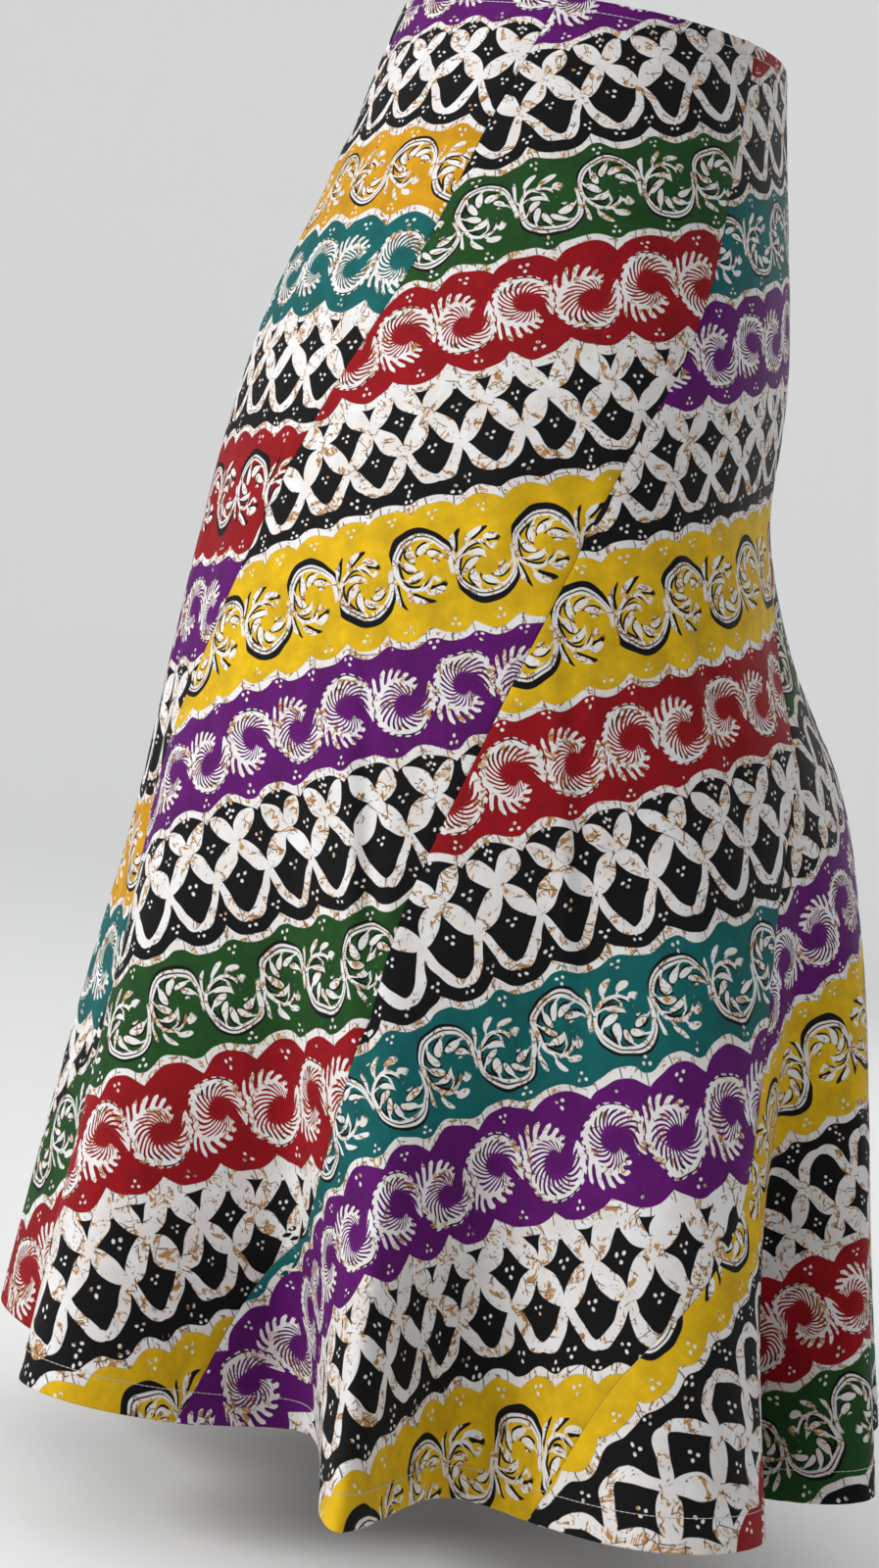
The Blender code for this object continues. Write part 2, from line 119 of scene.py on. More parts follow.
# A crease is a soft ridge or trough: where its middle lies, how far it runs down and how far it
# drifts round the skirt on the way, half its width, and its height, below zero for a trough.
Crease = namedtuple("Crease", "name share place run drift half height")
CREASES = (
    Crease("pressed fold before the hip", 0.590, 0.1900, 0.105, 0.0095, 0.0060, 0.0030),
    Crease("dip beside it", 0.595, 0.1985, 0.100, 0.0095, 0.0055, -0.0034),
    Crease("swell beyond it", 0.600, 0.2080, 0.100, 0.0090, 0.0090, 0.0016),
    Crease("pressed line behind the hip", 0.575, 0.2800, 0.120, 0.0066, 0.0055, 0.0020),
    Crease("dip beside it", 0.560, 0.2880, 0.110, 0.0060, 0.0080, -0.0018),
    Crease("hollow under the hip, front", 0.370, 0.2350, 0.034, 0.0120, 0.0120, -0.0027),
    Crease("hollow under the hip", 0.362, 0.2625, 0.028, -0.0080, 0.0100, -0.0030),
    Crease("hollow under the hip, back", 0.348, 0.2910, 0.032, 0.0100, 0.0110, -0.0024),
    Crease("swell between the hollows", 0.352, 0.2490, 0.036, 0.0050, 0.0110, 0.0018),
    Crease("pull across the left hip", 0.205, 0.2600, 0.014, 0.0060, 0.0520, -0.0015),
    Crease("pull below the waist, left", 0.070, 0.2450, 0.010, -0.0040, 0.0400, -0.0012),
    Crease("soft ridge under the seat", 0.430, 0.3480, 0.080, 0.0080, 0.0100, 0.0024),
    Crease("hollow beside it", 0.450, 0.3600, 0.085, 0.0060, 0.0110, -0.0027),
    Crease("pull across the seat", 0.240, 0.4400, 0.016, 0.0080, 0.0450, -0.0018),
    Crease("pull above the seat", 0.130, 0.5300, 0.012, -0.0080, 0.0480, -0.0015),
    Crease("hollow under the seat, left", 0.420, 0.4300, 0.040, -0.0100, 0.0150, -0.0027),
    Crease("hollow under the seat, right", 0.405, 0.5650, 0.036, 0.0120, 0.0140, -0.0025),
    Crease("pressed line down the back", 0.560, 0.4950, 0.120, -0.0050, 0.0048, 0.0018),
    Crease("dip beside it", 0.570, 0.5030, 0.110, -0.0050, 0.0080, -0.0016),
    Crease("pressed line, right of the back", 0.600, 0.6150, 0.110, 0.0080, 0.0046, 0.0016),
    Crease("dip beside it", 0.590, 0.6080, 0.100, 0.0070, 0.0075, -0.0018),
    Crease("soft ridge, right hip", 0.440, 0.6900, 0.080, -0.0080, 0.0110, 0.0021),
    Crease("hollow, right hip", 0.360, 0.7250, 0.034, 0.0100, 0.0120, -0.0027),
    Crease("hollow, right hip, front", 0.345, 0.7700, 0.030, -0.0090, 0.0110, -0.0024),
    Crease("pull across the right hip", 0.190, 0.7550, 0.013, -0.0060, 0.0480, -0.0015),
    Crease("pressed line, right side", 0.590, 0.7850, 0.120, -0.0070, 0.0045, 0.0018),
    Crease("dip beside it", 0.600, 0.7920, 0.110, -0.0070, 0.0075, -0.0016),
    Crease("pressed line, right of the front", 0.610, 0.8850, 0.110, 0.0080, 0.0048, 0.0016),
    Crease("dip beside it", 0.600, 0.8780, 0.105, 0.0070, 0.0080, -0.0018),
    Crease("hollow in the lap, right", 0.400, 0.9300, 0.045, -0.0100, 0.0160, -0.0024),
    Crease("hollow in the lap, left", 0.420, 0.0650, 0.050, 0.0100, 0.0150, -0.0025),
    Crease("pull below the waist, front", 0.090, 0.0100, 0.011, 0.0050, 0.0500, -0.0014),
    Crease("pressed line down the front", 0.590, 0.0350, 0.120, -0.0060, 0.0046, 0.0018),
    Crease("dip beside it", 0.580, 0.0430, 0.110, -0.0060, 0.0080, -0.0016),
    Crease("soft ridge, left of the front", 0.500, 0.1180, 0.100, -0.0090, 0.0120, 0.0019),
    Crease("hem ripple", 0.955, 0.0600, 0.050, 0.0040, 0.0120, 0.0019),
    Crease("hem ripple", 0.960, 0.1480, 0.045, -0.0040, 0.0110, -0.0018),
    Crease("hem ripple", 0.940, 0.2050, 0.055, 0.0050, 0.0120, 0.0019),
    Crease("hem ripple", 0.950, 0.2750, 0.060, -0.0050, 0.0130, -0.0021),
    Crease("hem ripple", 0.960, 0.3200, 0.045, 0.0040, 0.0110, 0.0018),
    Crease("hem ripple", 0.945, 0.4050, 0.050, 0.0040, 0.0130, -0.0019),
    Crease("hem ripple", 0.955, 0.4700, 0.055, -0.0050, 0.0120, 0.0019),
    Crease("hem ripple", 0.950, 0.5450, 0.050, 0.0050, 0.0120, -0.0018),
    Crease("hem ripple", 0.960, 0.6300, 0.045, -0.0040, 0.0110, 0.0018),
    Crease("hem ripple", 0.945, 0.7150, 0.050, 0.0050, 0.0130, -0.0019),
    Crease("hem ripple", 0.955, 0.8150, 0.055, -0.0040, 0.0120, 0.0018),
    Crease("hem ripple", 0.950, 0.9200, 0.050, 0.0040, 0.0120, -0.0019),
)


def smooth(rows, column, at):
    """A smooth curve through one column of a table, read at one value of its first column."""
    stops = np.array([row[0] for row in rows])
    values = np.array([getattr(row, column) for row in rows])
    slopes = np.gradient(values, stops)
    i = int(np.clip(np.searchsorted(stops, at, side="right") - 1, 0, len(stops) - 2))
    step = stops[i + 1] - stops[i]
    t = (at - stops[i]) / step
    return float(
        (1 + 2 * t) * (1 - t) ** 2 * values[i]
        + t * (1 - t) ** 2 * step * slopes[i]
        + t * t * (3 - 2 * t) * values[i + 1]
        + t * t * (t - 1) * step * slopes[i + 1]
    )


def arc_lengths(line):
    steps = np.linalg.norm(np.diff(line, axis=0), axis=1)
    return np.concatenate([[0.0], np.cumsum(steps)])


def evenly(line, extra=None):
    """The closed line, and the extra columns beside it, at RING_STEPS even steps of its length."""
    arc = arc_lengths(line)
    columns = line if extra is None else np.column_stack([line, extra])
    at = np.arange(RING_STEPS) / RING_STEPS * arc[-1]
    return np.column_stack([np.interp(at, arc, column) for column in columns.T])


def plain_ring(drop):
    """A round without folds: an ellipse with its own reach to the front, back and sides."""
    turn = np.radians(np.linspace(-90, 270, FINE_STEPS + 1))
    reach = np.where(np.sin(turn) > 0, smooth(SECTIONS, "back", drop), smooth(SECTIONS, "front", drop))
    side = smooth(SECTIONS, "side", drop)
    return evenly(np.column_stack([side * np.cos(turn), reach * np.sin(turn)]))


def fold_points():
    """The hem's control points: x, y, hang and start, two for each crest and two for each valley."""
    points = []
    for fold in FOLDS:
        for turn, reach, half, hang in (
            (fold.crest, fold.reach, fold.half, fold.hang),
            (fold.valley, fold.depth, fold.width, fold.lift),
        ):
            for side in (-half, half):
                angle = math.radians(turn + side)
                points.append((reach * math.cos(angle), reach * math.sin(angle), hang, fold.start))
    return np.array(points)


def hem_ring():
    """The hem's folded round, a closed cubic B-spline that begins at the centre front."""
    points = fold_points()
    count = len(points)
    at = np.linspace(0, count, FINE_STEPS, endpoint=False)
    i = at.astype(int)
    t = (at - i)[:, None]
    before, here, after, beyond = (points[(i + step) % count] for step in (-1, 0, 1, 2))
    curve = (
        (1 - t) ** 3 * before
        + (3 * t**3 - 6 * t**2 + 4) * here
        + (-3 * t**3 + 3 * t**2 + 3 * t + 1) * after
        + t**3 * beyond
    ) / 6
    crosses = (curve[:, 0] <= 0) & (np.roll(curve[:, 0], -1) > 0) & (curve[:, 1] < 0)
    curve = np.roll(curve, -int(np.argmax(crosses)), axis=0)
    curve = np.vstack([curve, curve[:1]])
    return evenly(curve[:, :2], curve[:, 2:])


WAIST_RING = plain_ring(0.0)
PLAIN_HEM = plain_ring(LENGTH)
HEM_RING = hem_ring()


def unit(vectors):
    return vectors / np.linalg.norm(vectors, axis=1)[:, None]


def cloth_ring(share):
    """One round of the cloth's outer face, at RING_STEPS places."""
    hang, start = HEM_RING[:, 2], HEM_RING[:, 3]
    grown = np.clip((share - start) / (1 - start), 0, None) ** FOLD_GROWTH
    flat = plain_ring(share * LENGTH) + grown[:, None] * (HEM_RING[:, :2] - PLAIN_HEM)
    flare = np.linalg.norm(flat - WAIST_RING, axis=1)
    rise = flare**2 / (2 * LENGTH * max(share, 1e-6))
    return np.column_stack([flat, rise - share * LENGTH - share**3 * hang])


def relief(ring, share):
    """How far the creases lift or sink the cloth at each step of one round."""
    length = np.linalg.norm(np.roll(ring, -1, axis=0) - ring, axis=1).sum()
    places = np.arange(RING_STEPS) / RING_STEPS
    height = np.zeros(RING_STEPS)
    for crease in CREASES:
        down = (share - crease.share) * LENGTH / crease.run
        middle = crease.place + crease.drift * down
        aside = ((places - middle + 0.5) % 1.0 - 0.5) * length / crease.half
        height += crease.height * np.exp(-(aside**2) - down**2)
    return height


class Round:
    """A round of the cloth, run three times over, so that a gore can cross the centre front."""

    def __init__(self, share):
        ring = cloth_ring(share)
        above = cloth_ring(max(share - SLOPE_STEP, 0.0))
        below = cloth_ring(min(share + SLOPE_STEP, 1.0))
        ahead, behind = np.roll(ring, -1, axis=0), np.roll(ring, 1, axis=0)
        normals = unit(np.cross(unit(below - above), unit(ahead - behind)))
        edges = ahead - ring
        spans = np.linalg.norm(edges, axis=1)
        headings = np.arctan2(edges[:, 1], edges[:, 0])
        bends = np.abs((np.diff(headings, prepend=headings[-1]) + math.pi) % (2 * math.pi) - math.pi)
        reach = range(-BEND_REACH, BEND_REACH + 1)
        costs = spans + BEND_SHARE * sum(np.roll(bends, step) for step in reach) / len(reach)
        lifted = ring + normals * relief(ring, share)[:, None]
        loops = 3
        self.place = np.arange(-RING_STEPS, (loops - 1) * RING_STEPS) / RING_STEPS
        self.arc = np.concatenate([[0.0], np.cumsum(np.tile(spans, loops))[:-1]])
        self.cost = np.concatenate([[0.0], np.cumsum(np.tile(costs, loops))[:-1]])
        self.points = np.tile(lifted, (loops, 1))
        self.normals = np.tile(normals, (loops, 1))

    def arc_at(self, place):
        return float(np.interp(place, self.place, self.arc))

    def even_arcs(self, begin, end, count):
        """count + 1 arc lengths from one to another, closer together at bends."""
        costs = np.linspace(*np.interp([begin, end], self.arc, self.cost), count + 1)
        return np.interp(costs, self.cost, self.arc)

    def at(self, arcs):
        points, normals = (
            np.column_stack([np.interp(arcs, self.arc, axis) for axis in table.T])
            for table in (self.points, self.normals)
        )
        return points, unit(normals)


def seam_place(seam, share):
    return smooth(TURNING_SEAM, "place", share) + seam / GORES


# A folded edge: how thick the fold is, how wide the turned cloth, and the grid's steps round the fold and on
# the turned cloth.
Edge = namedtuple("Edge", "thickness turn bends flats")
WAIST_EDGE = Edge(HEM_FOLD, 0.010, 6, 3)
HEM_EDGE = Edge(HEM_FOLD, 0.020, 6, 5)
SEAM_EDGE = Edge(SEAM_FOLD, 0.012, 4, 2)

# One row or column of a gore's grid: how far in from the edge it lies, and how far it is turned under, from 0
# on the outer face to 1 on the inner one.
Turned = namedtuple("Turned", "inset under")


def turned_edge(edge):
    """A folded edge, from the end of the turned cloth, round the fold, to the outer face."""
    radius = edge.thickness / 2
    flat = [Turned(inset, 1.0) for inset in np.linspace(edge.turn, radius, edge.flats, endpoint=False)]
    angles = np.radians(np.linspace(180, 0, edge.bends + 1))
    fold = [Turned(radius * (1 - math.sin(angle)), (1 - math.cos(angle)) / 2) for angle in angles]
    return flat + fold


def rows_of_gore():
    """Each row's share of the length, and how far it is turned under, from one turned edge to the other."""
    waist = [(row.inset / LENGTH, row.under) for row in turned_edge(WAIST_EDGE)]
    hem = [(1 - row.inset / LENGTH, row.under) for row in turned_edge(HEM_EDGE)]
    top, foot = waist[-1][0], hem[-1][0]
    main = [(share, 0.0) for share in np.linspace(top, foot, ROWS)[1:-1]]
    return waist + main + hem[::-1]


def seam_dip(distance, share):
    """The stitched seam pulls the cloth in a little, with uneven puckers along it."""
    run = share * LENGTH / PUCKER_PITCH
    pucker = math.sin(2 * math.pi * (run + 0.35 * math.sin(run * 1.7)))
    pucker *= 0.6 + 0.4 * math.sin(run * 0.61)
    dip = -SEAM_DIP * np.exp(-((distance / SEAM_DIP_REACH) ** 2))
    return dip + PUCKER * pucker * np.exp(-distance / PUCKER_REACH)


def gore_grid(gore):
    """The outer surface of a gore's cloth with its edges turned under, as (rows, columns, 3) points."""
    seam = gore + FIRST_GORE
    edge = turned_edge(SEAM_EDGE)
    insets = np.array([column.inset for column in edge])
    unders = np.array([column.under for column in edge])
    under = np.concatenate([unders, np.zeros(COLUMNS - 1), unders[::-1]])
    grid = []
    for share, turned in rows_of_gore():
        cloth = rounds(share)
        begin = cloth.arc_at(seam_place(seam, share)) + SEAM_GAP / 2
        end = cloth.arc_at(seam_place(seam + 1, share)) - SEAM_GAP / 2
        main = cloth.even_arcs(begin + insets[-1], end - insets[-1], COLUMNS)
        arcs = np.concatenate([begin + insets[:-1], main, end - insets[:-1][::-1]])
        points, normals = cloth.at(arcs)
        distance = np.minimum(arcs - begin, end - arcs)
        depth = SEAM_FOLD * under + (HEM_FOLD - 2 * SEAM_FOLD * under) * turned
        grid.append(points + normals * (seam_dip(distance, share) - depth)[:, None])
    return np.array(grid)


ROUNDS = {}


def rounds(share):
    key = round(share, 9)
    if key not in ROUNDS:
        ROUNDS[key] = Round(share)
    return ROUNDS[key]


def sheet_mesh(name, grid):
    """An open sheet through a grid of points, with its outer face towards the outside of the skirt."""
    rows, columns = grid.shape[:2]
    r, c = np.meshgrid(np.arange(rows - 1), np.arange(columns - 1), indexing="ij")
    here = (r * columns + c).ravel()
    faces = np.column_stack([here, here + columns, here + columns + 1, here + 1])
    mesh = bpy.data.meshes.new(name)
    mesh.from_pydata(grid.reshape(-1, 3).tolist(), [], faces.tolist())
    mesh.shade_smooth()
    return mesh


def area_of(mesh):
    return sum(polygon.area for polygon in mesh.polygons)


def corners_of(mesh):
    """The vertex at each corner of each face."""
    corners = np.zeros(len(mesh.loops), int)
    mesh.loops.foreach_get("vertex_index", corners)
    return corners


def add_object(name, data):
    made = bpy.data.objects.new(name, data)
    bpy.context.scene.collection.objects.link(made)
    return made


def thicken(obj, name):
    """Gives a sheet the cloth's thickness, inwards from its outer face."""
    wall = obj.modifiers.new(name, "SOLIDIFY")
    wall.thickness = SHEET
    wall.offset = -1.0
    wall.use_even_offset = False


def new_material(name):
    made = bpy.data.materials.new(name)
    made.use_nodes = True
    tree = made.node_tree
    return made, tree, tree.nodes["Principled BSDF"]


def flatten(obj, grid):
    """Unrolls the gore to its flat cut: a UV map in metres with the gore's middle running down V."""
    bpy.context.view_layer.objects.active = obj
    obj.select_set(True)
    obj.data.uv_layers.new(name="cut")
    bpy.ops.object.mode_set(mode="EDIT")
    bpy.ops.mesh.select_all(action="SELECT")
    bpy.ops.uv.unwrap(method="ANGLE_BASED", margin=0.0)
    bpy.ops.object.mode_set(mode="OBJECT")
    obj.select_set(False)
    mesh = obj.data
    layer = mesh.uv_layers["cut"]
    flat = np.zeros(len(mesh.loops) * 2)
    layer.data.foreach_get("uv", flat)
    flat = flat.reshape(-1, 2)
    at = np.zeros((len(mesh.vertices), 2))
    at[corners_of(mesh)] = flat
    at = at.reshape(*grid.shape[:2], 2)
    quads = [at[:-1, :-1], at[1:, :-1], at[1:, 1:], at[:-1, 1:]]
    shoelace = sum(
        a[..., 0] * b[..., 1] - a[..., 1] * b[..., 0] for a, b in zip(quads, quads[1:] + quads[:1])
    )
    scale = math.sqrt(area_of(mesh) / abs(shoelace.sum() / 2))
    middle = at.shape[1] // 2
    top, foot = at[0, middle], at[-1, middle]
    down = (foot - top) / np.linalg.norm(foot - top)
    across = np.array([-down[1], down[0]])
    placed = (flat - top) * scale
    cut = np.column_stack([placed @ across, -(placed @ down)])
    layer.data.foreach_set("uv", cut.ravel())
    return cut


def add_gore(gore):
    name = f"batik_gore_{gore}"
    grid = gore_grid(gore)
    obj = add_object(name, sheet_mesh(name, grid))
    cut = flatten(obj, grid)
    thicken(obj, "cotton")
    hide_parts(f"gore_{gore}")
    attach(obj, "skirt")
    return obj


PHOTO_HEIGHT = 1600  # pixels
PHOTO_DISTANCE = 3240  # from the eye to the picture, in its own pixels
CAMERA_PLACE = (1.85, -0.0174, -0.3195)
CAMERA_PITCH = math.radians(-3.6)
CAMERA_ROLL = math.radians(10)


def add_camera():
    """The photograph's view: from the skirt's left side, level with the hip, tilted with the picture."""
    data = bpy.data.cameras.new("camera")
    data.sensor_fit = "VERTICAL"
    data.sensor_height = 24.0
    data.lens = data.sensor_height * PHOTO_DISTANCE / PHOTO_HEIGHT
    camera = add_object("camera", data)
    ahead = Vector((-math.cos(CAMERA_PITCH), 0.0, math.sin(CAMERA_PITCH)))
    aim = ahead.to_track_quat("-Z", "Y").to_matrix().to_4x4()
    camera.matrix_world = Matrix.Translation(CAMERA_PLACE) @ aim @ Matrix.Rotation(CAMERA_ROLL, 4, "Z")
    bpy.context.scene.camera = camera


FLOOR_DROP = 0.86
FLOOR_FLAT = 3.5  # how far the floor runs flat, from the middle
FLOOR_CURVE = 1.5  # the radius of its curve up into the wall
WALL_TOP = 2.5
FLOOR_SIDES = 72
FLOOR_COLOUR = (0.92, 0.92, 0.91, 1.0)
FLOOR_ROUGHNESS = 0.9


def add_floor():
    """A pale floor that curves up into a pale wall all round."""
    bend = [math.radians(angle) for angle in range(0, 91, 9)]
    profile = [(0.0, 0.0)]
    profile += [(FLOOR_FLAT + FLOOR_CURVE * math.sin(a), FLOOR_CURVE * (1 - math.cos(a))) for a in bend]
    profile.append((FLOOR_FLAT + FLOOR_CURVE, WALL_TOP))
    shape = bmesh.new()
    line = [shape.verts.new((reach, 0.0, height - FLOOR_DROP)) for reach, height in profile]
    edges = [shape.edges.new(pair) for pair in zip(line, line[1:])]
    bmesh.ops.spin(
        shape, geom=line + edges, axis=(0, 0, 1), cent=(0, 0, 0), steps=FLOOR_SIDES, angle=2 * math.pi
    )
    bmesh.ops.remove_doubles(shape, verts=shape.verts, dist=1e-5)
    bmesh.ops.recalc_face_normals(shape, faces=shape.faces)
    mesh = bpy.data.meshes.new("floor")
    shape.to_mesh(mesh)
    shape.free()
    mesh.shade_smooth()
    floor = add_object("floor", mesh)
    pale, _, shader = new_material("pale floor")
    shader.inputs["Base Color"].default_value = FLOOR_COLOUR
    shader.inputs["Roughness"].default_value = FLOOR_ROUGHNESS
    mesh.materials.append(pale)


Lamp = namedtuple("Lamp", "name place size power")
LAMPS = (
    Lamp("window", (1.35, -2.0, 0.35), 1.1, 52),
    Lamp("fill", (-2.0, 1.5, 0.5), 1.6, 9),
)
LIT_PLACE = (0.0, 0.0, -0.4)
ROOM_COLOUR = (0.97, 0.98, 1.0, 1.0)
ROOM_STRENGTH = 0.64


def add_lights():
    """A pale room with two soft round lamps, both aimed at the middle of the skirt."""
    world = bpy.data.worlds.new("pale room")
    world.use_nodes = True
    background = world.node_tree.nodes["Background"]
    background.inputs["Color"].default_value = ROOM_COLOUR
    background.inputs["Strength"].default_value = ROOM_STRENGTH
    bpy.context.scene.world = world
    for lamp in LAMPS:
        data = bpy.data.lights.new(lamp.name, "AREA")
        data.shape = "DISK"
        data.size = lamp.size
        data.energy = lamp.power
        light = add_object(lamp.name, data)
        aim = (Vector(LIT_PLACE) - Vector(lamp.place)).to_track_quat("-Z", "Y")
        light.matrix_world = Matrix.Translation(lamp.place) @ aim.to_matrix().to_4x4()


# The print. Its sizes are in centimetres on the flat cloth: Along runs with the bands, Down across them.


def sign(operation, swapped=False):
    """A Python sign for a field: one maths node, with the other value before it where swapped."""

    def method(field, other):
        return maths(operation, *((other, field) if swapped else (field, other)))

    return method


class Field:
    """A value that changes over the cloth, with Python's signs for the maths nodes."""

    __add__, __radd__ = sign("ADD"), sign("ADD", swapped=True)
    __sub__, __rsub__ = sign("SUBTRACT"), sign("SUBTRACT", swapped=True)
    __mul__, __rmul__ = sign("MULTIPLY"), sign("MULTIPLY", swapped=True)
    __truediv__ = sign("DIVIDE")
    __mod__ = sign("FLOORED_MODULO")
    __pow__ = sign("POWER")
    __lt__, __gt__ = sign("LESS_THAN"), sign("GREATER_THAN")

    def __init__(self, tree, socket):
        self.tree = tree
        self.socket = socket

    def __abs__(self):
        return maths("ABSOLUTE", self)


def node(tree, kind, settings=(), **inputs):
    """A new node with its settings and inputs, each input a field or a plain value."""
    made = tree.nodes.new(kind)
    for name, value in dict(settings).items():
        setattr(made, name, value)
    for name, value in inputs.items():
        plug(tree, made.inputs[name.replace("_", " ")], value)
    return made


def output(tree, kind, name, settings=(), **inputs):
    """A new node's output of that name."""
    return Field(tree, node(tree, kind, settings, **inputs).outputs[name])


def plug(tree, socket, value):
    if isinstance(value, Field):
        tree.links.new(value.socket, socket)
    else:
        socket.default_value = value


def maths(operation, *values):
    tree = next(value.tree for value in values if isinstance(value, Field))
    made = tree.nodes.new("ShaderNodeMath")
    made.operation = operation
    for socket, value in zip(made.inputs, values):
        plug(tree, socket, value)
    return Field(tree, made.outputs[0])


def least(first, *others):
    for other in others:
        first = maths("MINIMUM", first, other)
    return first


def most(first, *others):
    for other in others:
        first = maths("MAXIMUM", first, other)
    return first


def either(mask, inside, outside):
    """One value where the mask is 1 and another where it is 0."""
    return outside + (inside - outside) * mask


def ramp(value, low, high, start=0.0, end=1.0, kind="LINEAR"):
    """From start to end as the value goes from low to high, and even beyond both."""
    made = node(value.tree, "ShaderNodeMapRange", {"interpolation_type": kind})
    for socket, given in zip(made.inputs, (value, low, high, start, end)):
        plug(value.tree, socket, given)
    return Field(value.tree, made.outputs["Result"])


SOFT_EDGE = 0.018  # half the width over which a dyed edge fades, in centimetres


def inked(distance, soft=SOFT_EDGE):
    """A mask that is 1 where the distance is above zero, with a softly dyed edge."""
    return ramp(distance, -soft, soft)


def between(value, low, high, soft):
    return ramp(value, low - soft, low + soft) * ramp(value, high - soft, high + soft, 1.0, 0.0)


def vector(x, y, z=0.0):
    tree = next(value.tree for value in (x, y, z) if isinstance(value, Field))
    return output(tree, "ShaderNodeCombineXYZ", "Vector", X=x, Y=y, Z=z)


def parts_of(field):
    made = node(field.tree, "ShaderNodeSeparateXYZ", Vector=field)
    return [Field(field.tree, socket) for socket in made.outputs]


def apart(first, second):
    made = node(first.tree, "ShaderNodeVectorMath", {"operation": "DISTANCE"})
    plug(first.tree, made.inputs[0], first)
    plug(first.tree, made.inputs[1], second)
    return Field(first.tree, made.outputs["Value"])


def noise(at, scale, detail=2.0, roughness=0.5, distortion=0.0, colour=False):
    return output(
        at.tree,
        "ShaderNodeTexNoise",
        "Color" if colour else "Fac",
        {"noise_dimensions": "2D"},
        Vector=at,
        Scale=scale,
        Detail=detail,
        Roughness=roughness,
        Distortion=distortion,
    )


# A Mix node's sockets for colours, which share their names with those for numbers.
MIX_OUTSIDE, MIX_INSIDE, MIX_RESULT = 6, 7, 2


def mix_colour(mask, inside, outside):
    made = mask.tree.nodes.new("ShaderNodeMix")
    made.data_type = "RGBA"
    plug(mask.tree, made.inputs["Factor"], mask)
    plug(mask.tree, made.inputs[MIX_OUTSIDE], outside)
    plug(mask.tree, made.inputs[MIX_INSIDE], inside)
    return Field(mask.tree, made.outputs[MIX_RESULT])


SOCKETS = {1: "NodeSocketFloat", 3: "NodeSocketVector", 4: "NodeSocketColor"}


def socket_kind(value):
    return SOCKETS[np.size(value)]


def effect(name, inputs, outputs, build):
    """A shader node group: its inputs with their usual values, its outputs, and what lies between them."""
    tree = bpy.data.node_groups.new(name, "ShaderNodeTree")
    for label, value in inputs.items():
        made = tree.interface.new_socket(name=label, in_out="INPUT", socket_type=socket_kind(value))
        made.default_value = value
    for label, value in outputs.items():
        tree.interface.new_socket(name=label, in_out="OUTPUT", socket_type=socket_kind(value))
    start, end = tree.nodes.new("NodeGroupInput"), tree.nodes.new("NodeGroupOutput")
    fields = [Field(tree, start.outputs[label]) for label in inputs]
    for label, value in build(*fields).items():
        plug(tree, end.inputs[label], value)
    return tree


def use(tree, group, **inputs):
    """A group placed in a tree, as a dict of its outputs."""
    made = tree.nodes.new("ShaderNodeGroup")
    made.node_tree = group
    made.label = group.name
    for label, value in inputs.items():
        plug(tree, made.inputs[label.replace("_", " ")], value)
    return {socket.name: Field(tree, socket) for socket in made.outputs}


PRINT_REPEAT = 39.0  # six bands, across
Band = namedtuple("Band", "name middle half")
BLACK_KAWUNG = Band("black kawung", 9.55, 2.90)
SECOND_FEATHER = Band("second feather", 21.95, 2.30)
SECOND_VINE = Band("second vine", 35.325, 3.12)
FIRST_FEATHER_MIDDLE = 2.975
FIRST_VINE_MIDDLE = 16.05
WHITE_KAWUNG_MIDDLE = 28.30
SCALLOP = 3.25
SCALLOP_HEIGHT = 0.75
VINE_SCALLOP = 2.45
VINE_SCALLOP_HEIGHT = 0.50
VALLEY = 0.35  # the share of a scallop's height that the border fills between two of them
VALLEY_ROUND = 0.25
BORDER = 0.42
DOT = 0.088
DOT_PLACES = ((-0.18, 0.10, 0.0), (0.18, 0.12, 0.0), (0.0, -0.20, 0.0))
DOTS_INSIDE = 0.62  # below a scallop's crest, in the band that it belongs to
DOTS_OUTSIDE = 0.42  # above the valley between two scallops
WOBBLE_SCALE = 0.45
WOBBLE_ALONG = 0.7
WOBBLE_DOWN = 0.55


def three_dots(x, y):
    """A cluster of three wax dots round the origin."""
    at = vector(x, y)
    nearest = least(*(apart(at, dot) for dot in DOT_PLACES))
    return inked(DOT - nearest)


def build_layout(cloth, angle, stretch, ease, shift):
    """Where a point of the flat cut lies in the print, with the wobble of a hand-drawn line."""
    about_z = {"rotation_type": "Z_AXIS"}
    back = 0.0 - angle
    turned = output(cloth.tree, "ShaderNodeVectorRotate", "Vector", about_z, Vector=cloth, Angle=back)
    x, y, _ = parts_of(turned)
    along, down = x * 100.0, y * -100.0
    at = vector(along, down)
    wobble_x, wobble_y, _ = parts_of(noise(at, WOBBLE_SCALE, detail=1.0, colour=True))
    along = along + (wobble_x - 0.5) * WOBBLE_ALONG
    down = down * stretch + down * down * ease + shift + (wobble_y - 0.5) * WOBBLE_DOWN
    return {"Along": along, "Down": down}


